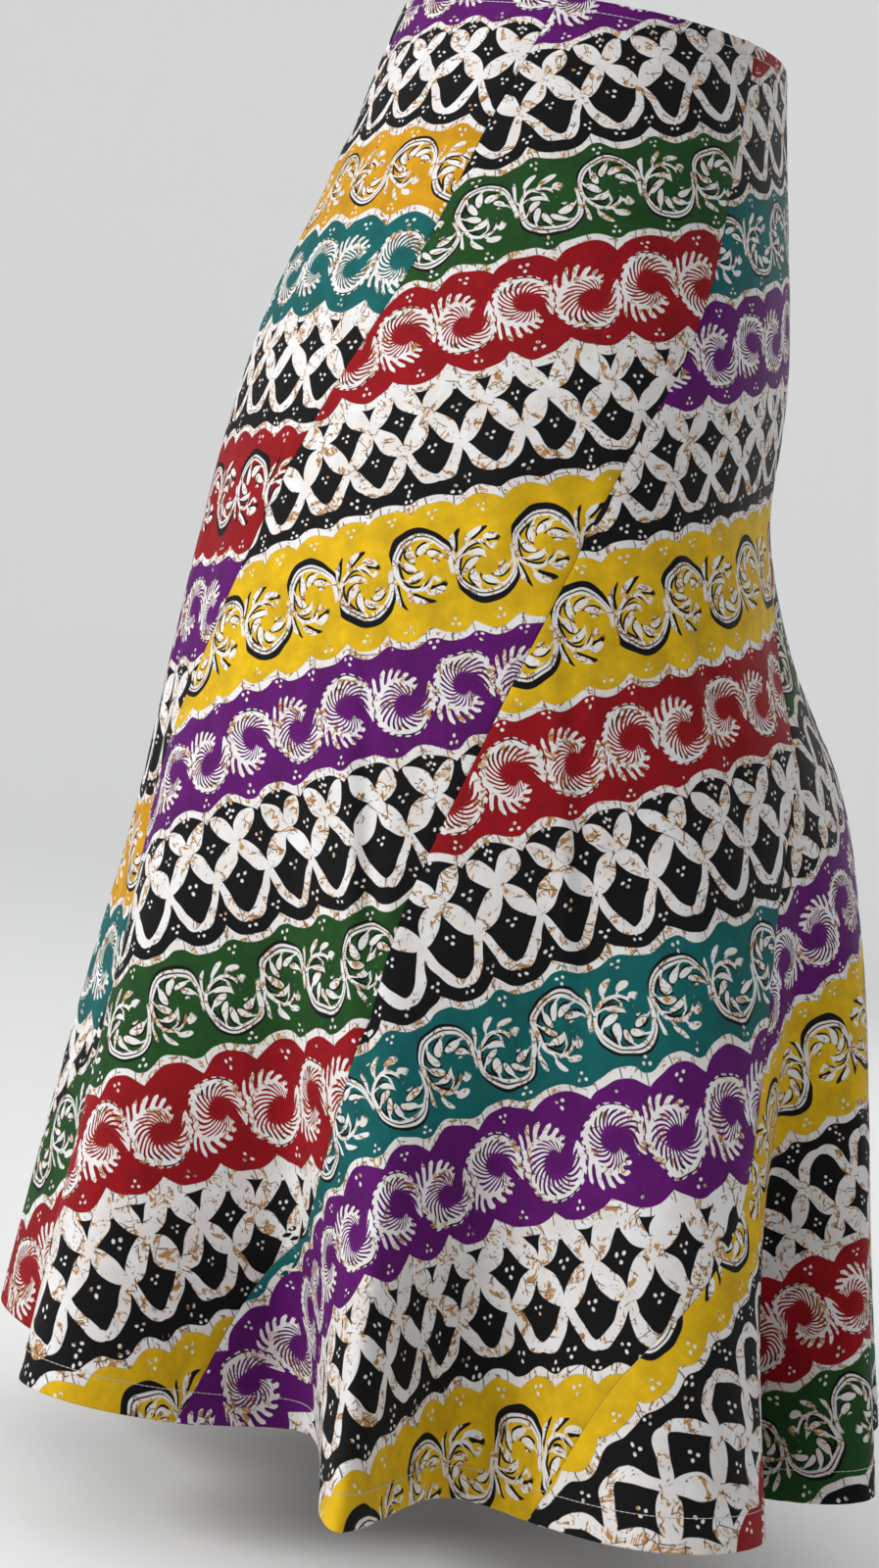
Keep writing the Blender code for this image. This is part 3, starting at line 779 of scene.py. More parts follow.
def build_bands(along, down):
    """Which band a point lies in, the white scalloped line between two bands, and most of its dots."""
    q = down % PRINT_REPEAT
    from_kawung = abs(q - BLACK_KAWUNG.middle) - BLACK_KAWUNG.half
    from_feather = abs(q - SECOND_FEATHER.middle) - SECOND_FEATHER.half
    wrapped = least(abs(q - SECOND_VINE.middle), abs(q - (SECOND_VINE.middle - PRINT_REPEAT)))
    from_vine = wrapped - SECOND_VINE.half
    nearest = least(from_kawung, from_feather, from_vine)
    by_vine = from_vine < least(from_kawung, from_feather)
    by_feather = (from_feather < from_kawung) * (1.0 - by_vine)
    pitch = either(by_vine, VINE_SCALLOP, SCALLOP)
    height = either(by_vine, VINE_SCALLOP_HEIGHT, SCALLOP_HEIGHT)
    step = along / pitch
    place = (step % 1.0) * 2.0 - 1.0
    scallop = height * (1.0 - place * place)
    lobed = inked(scallop - nearest)
    outer = maths("SMOOTH_MAX", scallop, height * VALLEY, VALLEY_ROUND) + BORDER
    line = inked(nearest - scallop) * inked(outer - nearest)
    in_first_feather = most(q < BLACK_KAWUNG.middle, q > SECOND_VINE.middle)
    in_white_kawung = (q > SECOND_FEATHER.middle) * (q < SECOND_VINE.middle)
    kawung = either(lobed, (1.0 - by_vine) * (1.0 - by_feather), in_white_kawung)
    second = either(lobed, by_feather, 0.0)
    bold = either(lobed, by_vine, 0.0)
    first = (1.0 - lobed) * in_first_feather
    inside = three_dots(place * pitch * 0.5, nearest - height + DOTS_INSIDE)
    between_scallops = (((step + 0.5) % 1.0) * 2.0 - 1.0) * pitch * 0.5
    corner = three_dots(between_scallops, height + DOTS_OUTSIDE - nearest)
    kept = ramp(noise(vector(step, down * 0.05), scale=0.9, detail=0.0), 0.36, 0.38)
    dots = either(lobed, inside, corner) * kept
    return {
        "Place": q,
        "Line": line,
        "Kawung": kawung,
        "First feather": first,
        "Second feather": second,
        "Second vine": bold,
        "Dots": dots,
    }


KAWUNG_TOP = 1.5  # the upper row of crossings, above the band's middle
KAWUNG_ROW = 1.95
KAWUNG_FREE = 0.82  # how much of its length a free petal at the top keeps
PETAL_OVERLAP = 1.02  # how far the petals run into each other at a crossing
PETAL_ROUND = 0.7
SLIM_PETAL = 0.228  # half its width, in scallops
FULL_PETAL = 0.232
PETAL_EDGE = 0.008
WHITE_TOP = 2.95  # above it the full kawung is white
CUP = 0.19  # half the width of the lowest petals where they meet
CUP_SWELL = 0.14
KAWUNG_FOOT = -2.62  # the lowest point of the cups that the petals end in
KAWUNG_BOWL = 2.25  # how high the cups rise to each side
FULL_FOOT = -2.15
FULL_BOWL = 1.80


def build_kawung(along, up, full):
    """Overlapping four-petalled circles: slim white petals on black, or full ones where full is 1."""
    x = along / SCALLOP - 0.5
    y = (up - KAWUNG_TOP) / (2 * KAWUNG_ROW)
    first, second = x + y, x - y
    half = either(full, FULL_PETAL, SLIM_PETAL)
    free = (up > KAWUNG_TOP) * (1.0 - full)
    petals = []
    for across, run in ((first, 1.0 - second), (second, first)):
        off = abs(((across + 0.5) % 1.0) - 0.5)
        reach = (run % 1.0) / either(free, KAWUNG_FREE, 1.0)
        bulge = most(1.0 - (abs(reach * 2.0 - 1.0) / PETAL_OVERLAP) ** 2.0, 0.0) ** PETAL_ROUND
        petals.append(half * bulge - off - 0.01)
    cap = (up - WHITE_TOP) * 0.4 - (1.0 - full) * 4.0
    aside = (((along / SCALLOP) % 1.0) - 0.5) * 2.0
    foot = either(full, FULL_FOOT, KAWUNG_FOOT)
    rise = either(full, FULL_BOWL, KAWUNG_BOWL)
    bowl = (up - foot - aside * aside * rise) / maths("SQRT", aside * aside * 6.0 + 1.0)
    low = up < KAWUNG_TOP - KAWUNG_ROW
    swell = maths("SINE", abs(aside) * math.pi)
    cup = inked(CUP + swell * CUP_SWELL - abs(bowl))
    white = either(low, cup, inked(most(*petals, cap), PETAL_EDGE))
    a, b = (first % 1.0) - 0.5, (second % 1.0) - 0.5
    dots = three_dots((a + b) * (SCALLOP / 2), (a - b) * KAWUNG_ROW)
    return {"White": most(white, dots)}


CURL = 3.35  # half a wave of the stem
CURL_RISE = 0.30  # how far the eye lies above the band's middle
CURL_START = 0.05  # of a turn, below the eye's right
STEM_SIDE = 1.15  # beyond it the stem runs on downwards, to the next half wave
STEM_ROUND = 10.6  # centimetres of it to a turn
RIB = 1.55  # from the eye
HOOK = 0.63  # of a turn, where the rib begins to hook in


def build_curl(along, up):
    """A half wave round its own eye: the radius, and the share of a turn from the right over its crest."""
    step = along / CURL
    side = 1.0 - (maths("FLOOR", step) % 2.0) * 2.0
    x = ((step % 1.0) - 0.5) * CURL
    y = up * side - CURL_RISE
    radius = maths("SQRT", x * x + y * y)
    turn = (maths("ARCTAN2", y, x) * (0.5 / math.pi) + CURL_START) % 1.0
    on_side = (x > STEM_SIDE) * (y < 0.0)
    return {
        "Radius": either(on_side, x, radius),
        "Turn": either(on_side, y / STEM_ROUND + CURL_START, turn),
    }


def build_rib(radius, turn, tight):
    """How far out from the curl's rib a point is: the rib runs round the eye and hooks in under it."""
    hook = most(turn - HOOK, 0.0)
    out = radius - RIB + hook * hook * tight
    return {"Out": out, "Off": abs(out), "Outside": out > 0.0}


STEM_END = -0.02  # the ends of a curl, in turns
PLUME_TIP = 0.905
VINE_TIP = 0.87

BARBS = 21.0  # to a turn
INNER_BARB = 0.92
OUTER_BARB = 0.86
OUTER_START = 0.58  # of a turn, where barbs begin to stand outside the rib too
INNER_SWEEP = 3.2  # how many barbs' steps a barb is swept forward for each centimetre of its run
OUTER_SWEEP = 1.6
SHAFT = 0.17  # half the width of the solid white along the rib
HOOK_SHAFT = 0.10
TIP_SHARE = 0.50  # how much of the barbs' length is left at the tip


def build_plume(turn, out, off, outside):
    """A white plume curled round its eye: swept barbs inside it, and outside too where it hooks in."""
    shrink = ramp(turn, 0.72, PLUME_TIP, 1.0, TIP_SHARE)
    inner = ramp(turn, STEM_END, 0.20, 0.32, INNER_BARB)
    outer = ramp(turn, OUTER_START, 0.66, 0.0, OUTER_BARB)
    length = either(outside, outer, inner) * shrink
    begun = ramp(turn, STEM_END - 0.02, STEM_END + 0.02)
    solid = ramp(turn, 0.52, 0.66, SHAFT, HOOK_SHAFT) * shrink * begun
    sweep = off * either(outside, OUTER_SWEEP, INNER_SWEEP)
    phase = maths("COSINE", (turn * BARBS - sweep) * (2 * math.pi))
    run = off / most(length, 0.05)
    gap = ramp(off - solid, -0.02, 0.10, -1.2, -0.05) + ramp(run, 0.80, 1.0, 0.0, 1.1)
    within = inked(solid - 0.02 + length * either(outside, outer > 0.05, 1.0) - off)
    barbs = ramp(phase - gap, -0.08, 0.08) * within
    rim = inked(SHAFT - out)
    shown = ramp(turn, PLUME_TIP, PLUME_TIP + 0.01, 1.0, 0.0) * (turn > STEM_END - 0.025)
    white = barbs * most(rim, turn > OUTER_START) * shown
    arc = inked(0.035 - abs(out - 0.05)) * between(turn, 0.17, 0.34, 0.02)
    between_barbs = inked(length - off) * ramp(off, 0.30, 0.60, 0.9, 0.0)
    dark = arc + between_barbs * rim * between(turn, 0.26, 0.46, 0.03)
    return {"White": white * (1.0 - arc), "Dark": dark}


OUTER_LEAVES = 12.0  # to a turn
INNER_LEAVES = 8.5
FEWER_BOLD = 1.5
OUTER_LEAF = 0.58  # from the stem to a leaf's middle
INNER_LEAF = 0.68
LEAF = 0.33  # half its length
LEAF_WIDE = 0.24
BOLD_LEAF_WIDE = 0.29
LEAF_SHADE_WIDE = 0.22
CANE = 0.10  # half the width of the stem
CANE_SWELL = 0.08
STEM_SHADE = 0.17
BOLD_STEM_SHADE = 0.38


def build_vine(radius, turn, out, off, outside, bold):
    """A white stem curled round its eye with drop leaves, and black shadows beside the stem and leaves."""
    count = either(outside, OUTER_LEAVES, INNER_LEAVES) - bold * FEWER_BOLD
    inner_leaves = between(turn, 0.05, VINE_TIP - 0.08, 0.01)
    leafy = either(outside, between(turn, 0.60, VINE_TIP + 0.05, 0.01), inner_leaves)
    leaf = ((turn * count - off * 1.2 + 0.3) % 1.0) - 0.5
    across = leaf * radius * (2 * math.pi) / count
    swell = ((off - either(outside, OUTER_LEAF, INNER_LEAF)) / LEAF) ** 2.0
    wide = either(bold, BOLD_LEAF_WIDE, LEAF_WIDE)
    white_leaf = 1.0 - swell - (across / wide) ** 2.0
    black_leaf = 1.0 - swell * 0.6 - ((across - wide) / LEAF_SHADE_WIDE) ** 2.0
    stalk = least(0.075 - abs(across), 0.5 - off)
    leaves = most(inked(white_leaf, 0.1), inked(stalk)) * leafy
    shade = inked(black_leaf, 0.12) * leafy * most(1.0 - outside, bold)
    swing = maths("SINE", ramp(turn, 0.02, 0.62, 0.0, math.pi))
    thick = CANE + swing * CANE_SWELL
    cane = inked(thick - off) * between(turn, STEM_END, VINE_TIP, 0.01)
    vein = inked(swing * 0.05 - 0.01 - abs(out - 0.01)) * between(turn, 0.10, 0.50, 0.03)
    shadow = inked(thick + swing * either(bold, BOLD_STEM_SHADE, STEM_SHADE) - out)
    shadow = shadow * inked(out) * between(turn, 0.05, 0.60, 0.01)
    under = inked(thick + 0.14 - off) * (1.0 - outside) * between(turn, 0.36, 0.86, 0.05)
    white = most(leaves, cane) * (1.0 - vein)
    return {"White": white, "Black": most(shade, shadow, under, vein)}


def build_crackle(at):
    """Where dye has crept into the cracked wax, as brown stains and thin dark lines, and how it clouds."""
    streak = noise(at, scale=0.8, detail=3.0, roughness=0.6, distortion=1.5)
    fine = noise(at, scale=3.1, detail=2.0, roughness=0.6, distortion=0.6)
    vein = abs(noise(at, scale=0.9, detail=2.0, roughness=0.55, distortion=2.2) - 0.5)
    stain = ramp(vein + fine * 0.12, 0.100, 0.145, 0.95, 0.0) * ramp(streak, 0.53, 0.57)
    settings = {"voronoi_dimensions": "2D", "feature": "DISTANCE_TO_EDGE"}
    edge = output(at.tree, "ShaderNodeTexVoronoi", "Distance", settings, Vector=at, Scale=1.15)
    line = ramp(edge, 0.020, 0.045, 0.85, 0.0) * ramp(streak, 0.48, 0.54)
    cloud = ramp(noise(at, scale=0.55, detail=3.0, roughness=0.6), 0.30, 0.72)
    return {"Stain": stain, "Line": line, "Uneven": fine, "Cloud": cloud}


def build_weave(cloth, threads, depth):
    """The height of a plain weave: threads over and under each other, in threads to a metre."""
    u, v, _ = parts_of(cloth)
    warp = maths("SINE", u * threads * math.pi)
    weft = maths("SINE", v * threads * math.pi)
    height = either(warp * weft > 0.0, abs(warp), abs(weft))
    return {"Height": height * depth}


LINEN_WHITE = (0.67, 0.67, 0.67, 1.0)
DYE_BLACK = (0.003, 0.003, 0.0035, 1.0)
CRACK_BROWN = (0.36, 0.17, 0.03, 1.0)
CRACK_DARK = (0.06, 0.035, 0.02, 1.0)
LINEN_CLOUD = 0.22
DYE_CLOUD = 0.30
TICKS = 0.75  # cracks across the border, to a centimetre
TICK = 0.055  # the share of a step that a crack takes up
TICK_DEPTH = 0.8
FIRST_FEATHER_END = 12.0
SECOND_VINE_START = 26.0
VINE_START = 1.1  # along the band
PLUME_HOOK = 7.0  # how sharply the rib hooks in
VINE_HOOK = 11.0


def build_print(groups):
    def build(cloth, angle, stretch, ease, shift, first_feather, first_vine, second_feather, second_vine):
        """The whole print: its colour, where it is undyed, and its fine unevenness."""
        tree = cloth.tree
        lay = use(tree, groups["layout"], Cloth=cloth, Angle=angle, Stretch=stretch, Ease=ease, Shift=shift)
        along, down = lay["Along"], lay["Down"]
        bands = use(tree, groups["bands"], Along=along, Down=down)
        q = bands["Place"]
        upper = q < (BLACK_KAWUNG.middle + SECOND_FEATHER.middle) / 2
        kawung_up = either(upper, BLACK_KAWUNG.middle, WHITE_KAWUNG_MIDDLE) - q
        kawung = use(tree, groups["kawung"], Along=along, Up=kawung_up, Full=1.0 - upper)
        feather_up = either(q < FIRST_FEATHER_END, FIRST_FEATHER_MIDDLE, SECOND_FEATHER.middle) - q
        feather_curl = use(tree, groups["curl"], Along=along, Up=feather_up)
        rib = use(tree, groups["rib"], **feather_curl, Tight=PLUME_HOOK)
        feather = use(tree, groups["plume"], Turn=feather_curl["Turn"], **rib)
        low_vine = q > SECOND_VINE_START
        vine_up = either(low_vine, SECOND_VINE.middle, FIRST_VINE_MIDDLE) - q
        vine_curl = use(tree, groups["curl"], Along=along + VINE_START, Up=vine_up)
        rib = use(tree, groups["rib"], **vine_curl, Tight=VINE_HOOK)
        vine = use(tree, groups["vine"], **vine_curl, **rib, Bold=low_vine)
        on_kawung = bands["Kawung"]
        on_feather = most(bands["First feather"], bands["Second feather"])
        on_vine = (1.0 - on_kawung) * (1.0 - on_feather)
        white = on_kawung * kawung["White"] + on_feather * feather["White"] + on_vine * vine["White"]
        black = most(on_kawung, on_feather * feather["Dark"], on_vine * vine["Black"])
        ground = mix_colour(bands["First feather"], first_feather, first_vine)
        ground = mix_colour(bands["Second feather"], second_feather, ground)
        ground = mix_colour(bands["Second vine"], second_vine, ground)
        crackle = use(tree, groups["crackle"], At=vector(along, down))
        waxed = most(white, bands["Line"], bands["Dots"])
        ticks = ((along * TICKS) % 1.0 < TICK) * bands["Line"]
        line = most(crackle["Line"], ticks * TICK_DEPTH)
        linen = mix_colour(crackle["Cloud"] * LINEN_CLOUD, CRACK_BROWN, LINEN_WHITE)
        linen = mix_colour(crackle["Stain"], CRACK_BROWN, linen)
        linen = mix_colour(line, CRACK_DARK, linen)
        ground = mix_colour(crackle["Cloud"] * DYE_CLOUD, DYE_BLACK, ground)
        colour = mix_colour(black, DYE_BLACK, ground)
        colour = mix_colour(waxed, linen, colour)
        return {"Colour": colour, "Undyed": waxed, "Uneven": crackle["Uneven"]}

    return build


GREY = (0.5, 0.5, 0.5, 1.0)
DYES = ("First feather", "First vine", "Second feather", "Second vine")


def numbers(*names):
    return dict.fromkeys(names, 0.0)


def batik_groups():
    cloth = {"Cloth": (0.0, 0.0, 0.0)}
    laid = {**cloth, "Angle": 0.7, "Stretch": 1.0, "Ease": 0.0, "Shift": 0.0}
    along = numbers("Along", "Down")
    bands = numbers("Place", "Line", "Kawung", "First feather", "Second feather", "Second vine", "Dots")
    motif = numbers("Along", "Up")
    curl = numbers("Radius", "Turn")
    rib = numbers("Out", "Off", "Outside")
    weave = {**cloth, "Threads": 2000.0, "Depth": 1.0}
    cracks = numbers("Stain", "Line", "Uneven", "Cloud")
    dyed = {"Colour": GREY, "Undyed": 0.0, "Uneven": 0.0}
    groups = {
        "layout": effect("print layout", laid, along, build_layout),
        "bands": effect("scalloped bands", along, bands, build_bands),
        "kawung": effect("kawung", {**motif, "Full": 0.0}, numbers("White"), build_kawung),
        "curl": effect("curl", motif, curl, build_curl),
        "rib": effect("rib of a curl", {**curl, "Tight": PLUME_HOOK}, rib, build_rib),
        "plume": effect("plume", {"Turn": 0.0, **rib}, numbers("White", "Dark"), build_plume),
        "vine": effect("leafy vine", {**curl, **rib, "Bold": 0.0}, numbers("White", "Black"), build_vine),
        "weave": effect("plain weave", weave, numbers("Height"), build_weave),
        "crackle": effect("wax crackle", {"At": (0.0, 0.0, 0.0)}, cracks, build_crackle),
    }
    whole = {**laid, **dict.fromkeys(DYES, GREY)}
    groups["print"] = effect("batik print", whole, dyed, build_print(groups))
    return groups


def dye(red, green, blue):
    """A colour as it looks on a screen, as the shader's linear values."""
    seen = (red, green, blue)
    return tuple(((c + 0.055) / 1.055) ** 2.4 if c > 0.04 else c / 12.92 for c in seen) + (1.0,)


PURPLE = dye(0.34, 0.05, 0.38)
RED = dye(0.54, 0.04, 0.08)
GREEN = dye(0.11, 0.27, 0.11)
TEAL = dye(0.05, 0.35, 0.35)
YELLOW = dye(0.82, 0.66, 0.07)
ORANGE = dye(0.78, 0.56, 0.07)

# How the print lies on each gore: its bands' angle on the flat cut, in degrees, how it is stretched and eased
# from the waist down, where it starts, and the dyes of the bands that DYES names.
Lay = namedtuple("Lay", "angle stretch ease shift dyes")
LAYS = (
    Lay(33.0, 1.2045, -0.0030, 1.90, (PURPLE, ORANGE, TEAL, RED)),
    Lay(44.0, 1.2045, -0.0030, 4.04, (PURPLE, GREEN, RED, YELLOW)),
    Lay(39.5, 1.2045, -0.0030, 4.70, (RED, TEAL, PURPLE, YELLOW)),
    Lay(221.0, 0.96, 0.0, 43.54, (PURPLE, GREEN, RED, YELLOW)),
    Lay(38.0, 1.0, 0.0, 20.0, (TEAL, ORANGE, PURPLE, YELLOW)),
    Lay(41.0, 1.0, 0.0, 7.0, (RED, GREEN, PURPLE, ORANGE)),
)


COTTON_GLOSS = 0.10
COTTON_SHEEN = 0.01
DYED_ROUGHNESS = 0.66
UNDYED_ROUGHNESS = 0.82
COTTON_THREADS = 2200.0  # to a metre
COTTON_RELIEF = 0.00008
SLUBS = 3.0  # the height of the cloth's unevenness, in threads


def batik_material(name, lay, groups):
    made, tree, shader = new_material(name)
    cut = uv_cloth(tree)
    printed = use(
        tree,
        groups["print"],
        Cloth=cut,
        Angle=math.radians(lay.angle),
        Stretch=lay.stretch,
        Ease=lay.ease,
        Shift=lay.shift,
        **dict(zip(DYES, lay.dyes)),
    )
    plug(tree, shader.inputs["Base Color"], printed["Colour"])
    roughness = ramp(printed["Undyed"], 0.0, 1.0, DYED_ROUGHNESS, UNDYED_ROUGHNESS)
    plug(tree, shader.inputs["Roughness"], roughness)
    shader.inputs["Specular IOR Level"].default_value = COTTON_GLOSS
    shader.inputs["Sheen Weight"].default_value = COTTON_SHEEN
    weave = use(tree, groups["weave"], Cloth=cut, Threads=COTTON_THREADS, Depth=1.0)["Height"]
    bumped(tree, shader, weave + printed["Uneven"] * SLUBS, COTTON_RELIEF)
    return made


# Stitches and the zip's coil: short arches of thread set along a path by one Geometry Nodes tree.

ARCH_INPUTS = {
    "Path": "NodeSocketGeometry",
    "Spacing": "NodeSocketFloat",
    "Length": "NodeSocketFloat",
    "Thickness": "NodeSocketFloat",
    "Rise": "NodeSocketFloat",
    "Turn": "NodeSocketFloat",
    "Unevenness": "NodeSocketFloat",
    "Seed": "NodeSocketInt",
    "Material": "NodeSocketMaterial",
}


# A Random Value node's sockets for plain numbers, which share their names with those for vectors.
RANDOM_LOW, RANDOM_HIGH, RANDOM_RESULT = 2, 3, 1


def arches_tree():
    """Arches of thread at even steps of a path, whose points keep the way out of the cloth as 'out'."""
    tree = bpy.data.node_groups.new("arches along a path", "GeometryNodeTree")
    for name, kind in ARCH_INPUTS.items():
        tree.interface.new_socket(name=name, in_out="INPUT", socket_type=kind)
    tree.interface.new_socket(name="Mesh", in_out="OUTPUT", socket_type="NodeSocketGeometry")
    start, end = tree.nodes.new("NodeGroupInput"), tree.nodes.new("NodeGroupOutput")
    given = {name: Field(tree, start.outputs[name]) for name in ARCH_INPUTS}
    curve = output(tree, "GeometryNodeMeshToCurve", "Curve", Mesh=given["Path"])
    even = output(
        tree, "GeometryNodeResampleCurve", "Curve", {"mode": "LENGTH"}, Curve=curve, Length=given["Spacing"]
    )
    half = given["Length"] * 0.5
    arch = output(
        tree,
        "GeometryNodeCurveQuadraticBezier",
        "Curve",
        Resolution=4,
        Start=vector(0.0 - half, 0.0),
        Middle=vector(half * 0.0, 0.0, given["Rise"] * 2.0),
        End=vector(half, 0.0),
    )
    thread = output(
        tree, "GeometryNodeCurvePrimitiveCircle", "Curve", Resolution=6, Radius=given["Thickness"] * 0.5
    )
    solid = output(
        tree, "GeometryNodeCurveToMesh", "Mesh", Curve=arch, Profile_Curve=thread, Fill_Caps=True
    )
    out = output(
        tree, "GeometryNodeInputNamedAttribute", "Attribute", {"data_type": "FLOAT_VECTOR"}, Name="out"
    )
    tangent = output(tree, "GeometryNodeInputTangent", "Tangent")
    square = output(
        tree,
        "FunctionNodeAxesToRotation",
        "Rotation",
        {"primary_axis": "Z", "secondary_axis": "X"},
        Primary_Axis=out,
        Secondary_Axis=tangent,
    )
    slack = given["Unevenness"]
    stray = tree.nodes.new("FunctionNodeRandomValue")
    plug(tree, stray.inputs[RANDOM_LOW], 0.0 - slack)
    plug(tree, stray.inputs[RANDOM_HIGH], slack)
    plug(tree, stray.inputs["Seed"], given["Seed"])
    turn = output(
        tree,
        "FunctionNodeAxisAngleToRotation",
        "Rotation",
        Axis=(0.0, 0.0, 1.0),
        Angle=given["Turn"] + Field(tree, stray.outputs[RANDOM_RESULT]),
    )
    turned = output(
        tree,
        "FunctionNodeRotateRotation",
        "Rotation",
        {"rotation_space": "LOCAL"},
        Rotation=square,
        Rotate_By=turn,
    )
    placed = output(
        tree, "GeometryNodeInstanceOnPoints", "Instances", Points=even, Instance=solid, Rotation=turned
    )
    real = output(tree, "GeometryNodeRealizeInstances", "Geometry", Geometry=placed)
    smoothed = output(tree, "GeometryNodeSetShadeSmooth", "Geometry", Geometry=real)
    finished = output(
        tree, "GeometryNodeSetMaterial", "Geometry", Geometry=smoothed, Material=given["Material"]
    )
    plug(tree, end.inputs["Mesh"], finished)
    return tree


def arches(name, points, outs, tree, material, **sizes):
    """A plain mesh of arches along a path of points."""
    mesh = bpy.data.meshes.new(name)
    mesh.from_pydata(points.tolist(), [(i, i + 1) for i in range(len(points) - 1)], [])
    mesh.attributes.new("out", "FLOAT_VECTOR", "POINT").data.foreach_set("vector", outs.ravel())
    path = add_object(f"{name} path", mesh)
    repeat = path.modifiers.new("arches", "NODES")
    repeat.node_group = tree
    inputs = (item for item in tree.interface.items_tree if item.in_out == "INPUT")
    identifiers = {item.name: item.identifier for item in inputs}
    for label, value in {**sizes, "Material": material}.items():
        repeat[identifiers[label]] = value
    evaluated = path.evaluated_get(bpy.context.evaluated_depsgraph_get())
    plain = bpy.data.meshes.new_from_object(evaluated)
    plain.name = name
    bpy.data.objects.remove(path)
    return add_object(name, plain)


STITCH = {
    "Spacing": 0.0032,
    "Length": 0.0026,
    "Thickness": 0.00042,
    "Rise": 0.00016,
    "Turn": 0.0,
    "Unevenness": 0.05,
    "Seed": 3,
}
COIL = {
    "Spacing": 0.00085,
    "Length": 0.0036,
    "Thickness": 0.00056,
    "Rise": 0.00055,
    "Turn": math.pi / 2,
    "Unevenness": 0.0,
    "Seed": 1,
}
THREAD_LIFT = 0.00008  # above the cloth
ROUND_STEPS = 160  # to a gore

# A line of stitches: how far below the waist it runs, and how far from the zip's seam it starts and ends.
StitchLine = namedtuple("StitchLine", "name drop gap")
STITCH_LINES = (
    StitchLine("hem_stitches", LENGTH - 0.0175, 0.0),
    StitchLine("waist_stitches", 0.0075, 0.007),
)

ZIP_SEAM = 2  # counted from the turning seam
ZIP_TOP = 0.0112  # its ends, down from the waist
ZIP_FOOT = 0.2112
ZIP_TAPE = 0.012  # the width of each half
ZIP_TAPE_DEPTH = 0.0019  # under the outer face
ZIP_GAP = 0.0001  # from the seam to each half
TAPE_COLUMNS = 7
TAPE_ROWS = 60
COIL_POINTS = 120


def round_path(share, gap):
    """Points round the skirt's outer face, from the zip's seam to itself, and the ways out there."""
    cloth = rounds(share)
    points, outs = [], []
    for seam in range(ZIP_SEAM - GORES, ZIP_SEAM):
        begin, end = (cloth.arc_at(seam_place(seam + side, share)) for side in (0, 1))
        first = begin + gap * (seam == ZIP_SEAM - GORES)
        last = end - gap * (seam == ZIP_SEAM - 1)
        arcs = np.linspace(first, last, ROUND_STEPS, endpoint=False)
        at, normals = cloth.at(arcs)
        dip = seam_dip(np.minimum(arcs - begin, end - arcs), share)
        points.append(at + normals * (dip + THREAD_LIFT)[:, None])
        outs.append(normals)
    return np.vstack(points), np.vstack(outs)


def zip_line(aside, depth, steps):
    """Points down the zip, aside of its seam and under the outer face, and the ways out there."""
    points, outs = [], []
    for share in np.linspace(ZIP_TOP, ZIP_FOOT, steps) / LENGTH:
        cloth = rounds(share)
        at, normals = cloth.at(np.array([cloth.arc_at(seam_place(ZIP_SEAM, share)) + aside]))
        points.append(at[0] - normals[0] * depth)
        outs.append(normals[0])
    return np.array(points), np.array(outs)


def add_zip_tape(side, material):
    name = "zip_tape_front" if side < 0 else "zip_tape_back"
    columns = sorted(side * aside for aside in np.linspace(ZIP_GAP, ZIP_TAPE, TAPE_COLUMNS))
    lines = [zip_line(aside, ZIP_TAPE_DEPTH, TAPE_ROWS)[0] for aside in columns]
    obj = add_object(name, sheet_mesh(name, np.stack(lines, axis=1)))
    layer = obj.data.uv_layers.new(name="cut")
    drops = np.linspace(0.0, ZIP_FOOT - ZIP_TOP, TAPE_ROWS)
    across, down = np.meshgrid(columns, -drops)
    cut = np.column_stack([across.ravel(), down.ravel()])
    layer.data.foreach_set("uv", cut[corners_of(obj.data)].ravel())
    thicken(obj, "tape")
    obj.data.materials.append(material)
    return obj


MERGE_REACH = 1e-6
FLAT_ANGLE = math.radians(4)  # faces that meet at less than this become one
SHARP_ANGLE = math.radians(25)
EDGE_ROUND = 0.00018
EDGE_STEPS = 3


def rounded(name, node_name, material):
    """A CAD node's own shape with its edges rounded."""
    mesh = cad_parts[node_name].data.copy()
    shape = bmesh.new()
    shape.from_mesh(mesh)
    bmesh.ops.remove_doubles(shape, verts=shape.verts, dist=MERGE_REACH)
    bmesh.ops.dissolve_limit(shape, angle_limit=FLAT_ANGLE, verts=shape.verts, edges=shape.edges)
    shape.to_mesh(mesh)
    shape.free()
    mesh.name = name
    mesh.materials.clear()
    mesh.materials.append(material)
    mesh.shade_smooth()
    made = add_object(name, mesh)
    edge = made.modifiers.new("rounded edges", "BEVEL")
    edge.width = EDGE_ROUND
    edge.segments = EDGE_STEPS
    edge.limit_method = "ANGLE"
    edge.angle_limit = SHARP_ANGLE
    edge.harden_normals = True
    return made


def bumped(tree, shader, height, distance):
    bump = node(tree, "ShaderNodeBump", Height=height, Distance=distance, Strength=1.0)
    tree.links.new(bump.outputs["Normal"], shader.inputs["Normal"])


def uv_cloth(tree):
    return output(tree, "ShaderNodeUVMap", "UV", {"uv_map": "cut"})


def object_place(tree):
    return output(tree, "ShaderNodeTexCoord", "Object")


TAPE_THREADS = 1500.0  # to a metre
TAPE_RELIEF = 0.0002
# The tape's colour is lighter on the raised threads and darker where the weave lies low: painted shade
# between the threads.
TAPE_THREAD_TOPS = (0.030, 0.030, 0.034, 1.0)
TAPE_PAINTED_SHADE = (0.010, 0.010, 0.012, 1.0)


def tape_material(groups):
    made, tree, shader = new_material("zip tape twill")
    weave = use(tree, groups["weave"], Cloth=uv_cloth(tree), Threads=TAPE_THREADS, Depth=1.0)["Height"]
    # Painted shade: the weave's low places get the darker colour.
    plug(tree, shader.inputs["Base Color"], mix_colour(weave, TAPE_THREAD_TOPS, TAPE_PAINTED_SHADE))
    plug(tree, shader.inputs["Roughness"], ramp(weave, 0.0, 1.0, start=0.9, end=0.7))
    bumped(tree, shader, weave, TAPE_RELIEF)
    return made


def solid_noise(at, scale, detail):
    return output(at.tree, "ShaderNodeTexNoise", "Fac", Vector=at, Scale=scale, Detail=detail)


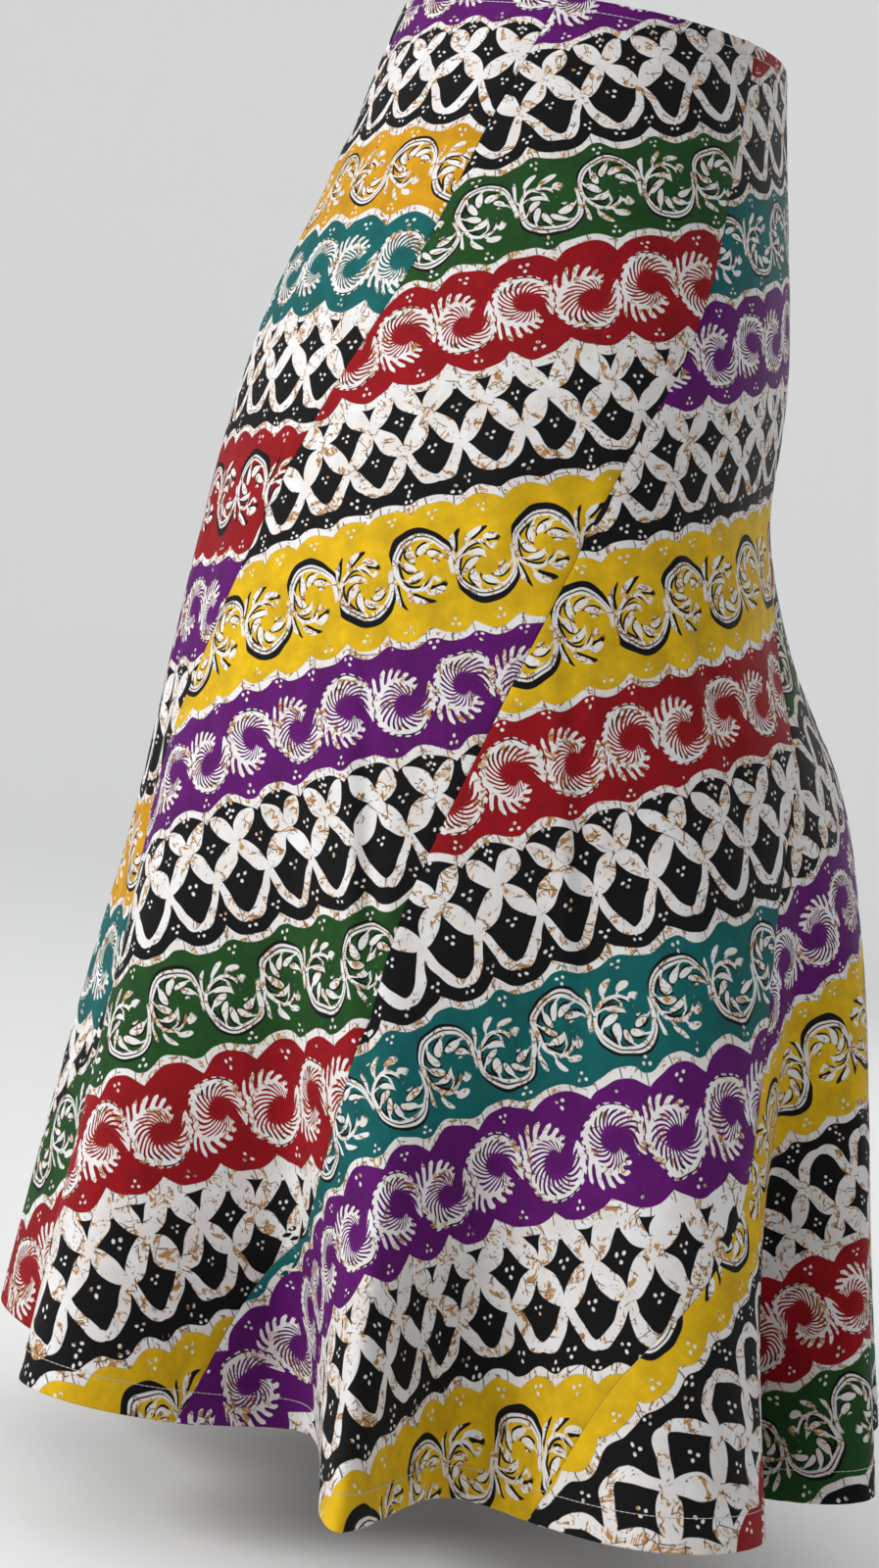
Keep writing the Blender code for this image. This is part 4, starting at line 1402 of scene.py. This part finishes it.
Thread = namedtuple("Thread", "name light dark")
SEWING_THREAD = Thread("pale sewing thread", (0.62, 0.60, 0.55, 1.0), (0.36, 0.34, 0.30, 1.0))
COIL_NYLON = Thread("nylon coil", (0.05, 0.05, 0.055, 1.0), (0.02, 0.02, 0.022, 1.0))
TWIST_SCALE = 4000.0
TWIST_RELIEF = 0.0001


def thread_material(thread):
    """Twisted sewing thread, or the coil's nylon."""
    made, tree, shader = new_material(thread.name)
    twist = solid_noise(object_place(tree), TWIST_SCALE, detail=1.0)
    colour = mix_colour(ramp(twist, 0.35, 0.65), thread.light, thread.dark)
    plug(tree, shader.inputs["Base Color"], colour)
    plug(tree, shader.inputs["Roughness"], ramp(twist, 0.3, 0.7, start=0.55, end=0.75))
    bumped(tree, shader, twist, TWIST_RELIEF)
    return made


STEEL_SATIN = (0.42, 0.41, 0.39, 1.0)
STEEL_RUBBED = (0.60, 0.58, 0.54, 1.0)
PATCH_SCALE = 700.0
PATCH_GLOSS = 0.08
SCRATCH_SCALE = 6000.0
SCRATCH_RELIEF = 0.00002


def steel_material():
    """Satin steel, rubbed bright in small patches, with fine scratches."""
    made, tree, shader = new_material("satin zip steel")
    at = object_place(tree)
    patch = ramp(solid_noise(at, PATCH_SCALE, detail=4.0), 0.52, 0.68)
    fine = solid_noise(at, SCRATCH_SCALE, detail=2.0)
    plug(tree, shader.inputs["Base Color"], mix_colour(patch, STEEL_RUBBED, STEEL_SATIN))
    shader.inputs["Metallic"].default_value = 1.0
    roughness = ramp(fine, 0.3, 0.7, start=0.30, end=0.44) - patch * PATCH_GLOSS
    plug(tree, shader.inputs["Roughness"], roughness)
    bumped(tree, shader, fine, SCRATCH_RELIEF)
    return made


def finish_piece(obj, body, replaced=()):
    if replaced:
        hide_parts(*replaced)
    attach(obj, body)


GROUPS = batik_groups()

gores = [add_gore(gore) for gore in range(GORES)]
for piece, lay in zip(gores, LAYS):
    piece.data.materials.append(batik_material(f"{piece.name} batik", lay, GROUPS))

ARCHES = arches_tree()
sewing_thread = thread_material(SEWING_THREAD)
for line in STITCH_LINES:
    path = round_path(line.drop / LENGTH, line.gap)
    finish_piece(arches(line.name, *path, ARCHES, sewing_thread, **STITCH), "skirt")

twill = tape_material(GROUPS)
for side in (-1, 1):
    finish_piece(add_zip_tape(side, twill), "skirt", ["zip_tape"])
coil_points, coil_outs = zip_line(0.0, ZIP_TAPE_DEPTH + SHEET, COIL_POINTS)
coil_nylon = thread_material(COIL_NYLON)
finish_piece(arches("zip_coil", coil_points, -coil_outs, ARCHES, coil_nylon, **COIL), "skirt")

steel = steel_material()
finish_piece(rounded("slider", "zip_slider", steel), "skirt", ["zip_slider"])
finish_piece(rounded("pull_tab", "zip_pull", steel), "pull", ["zip_pull"])

bpy.context.scene.view_settings.view_transform = "Standard"
add_camera()
add_floor()
add_lights()
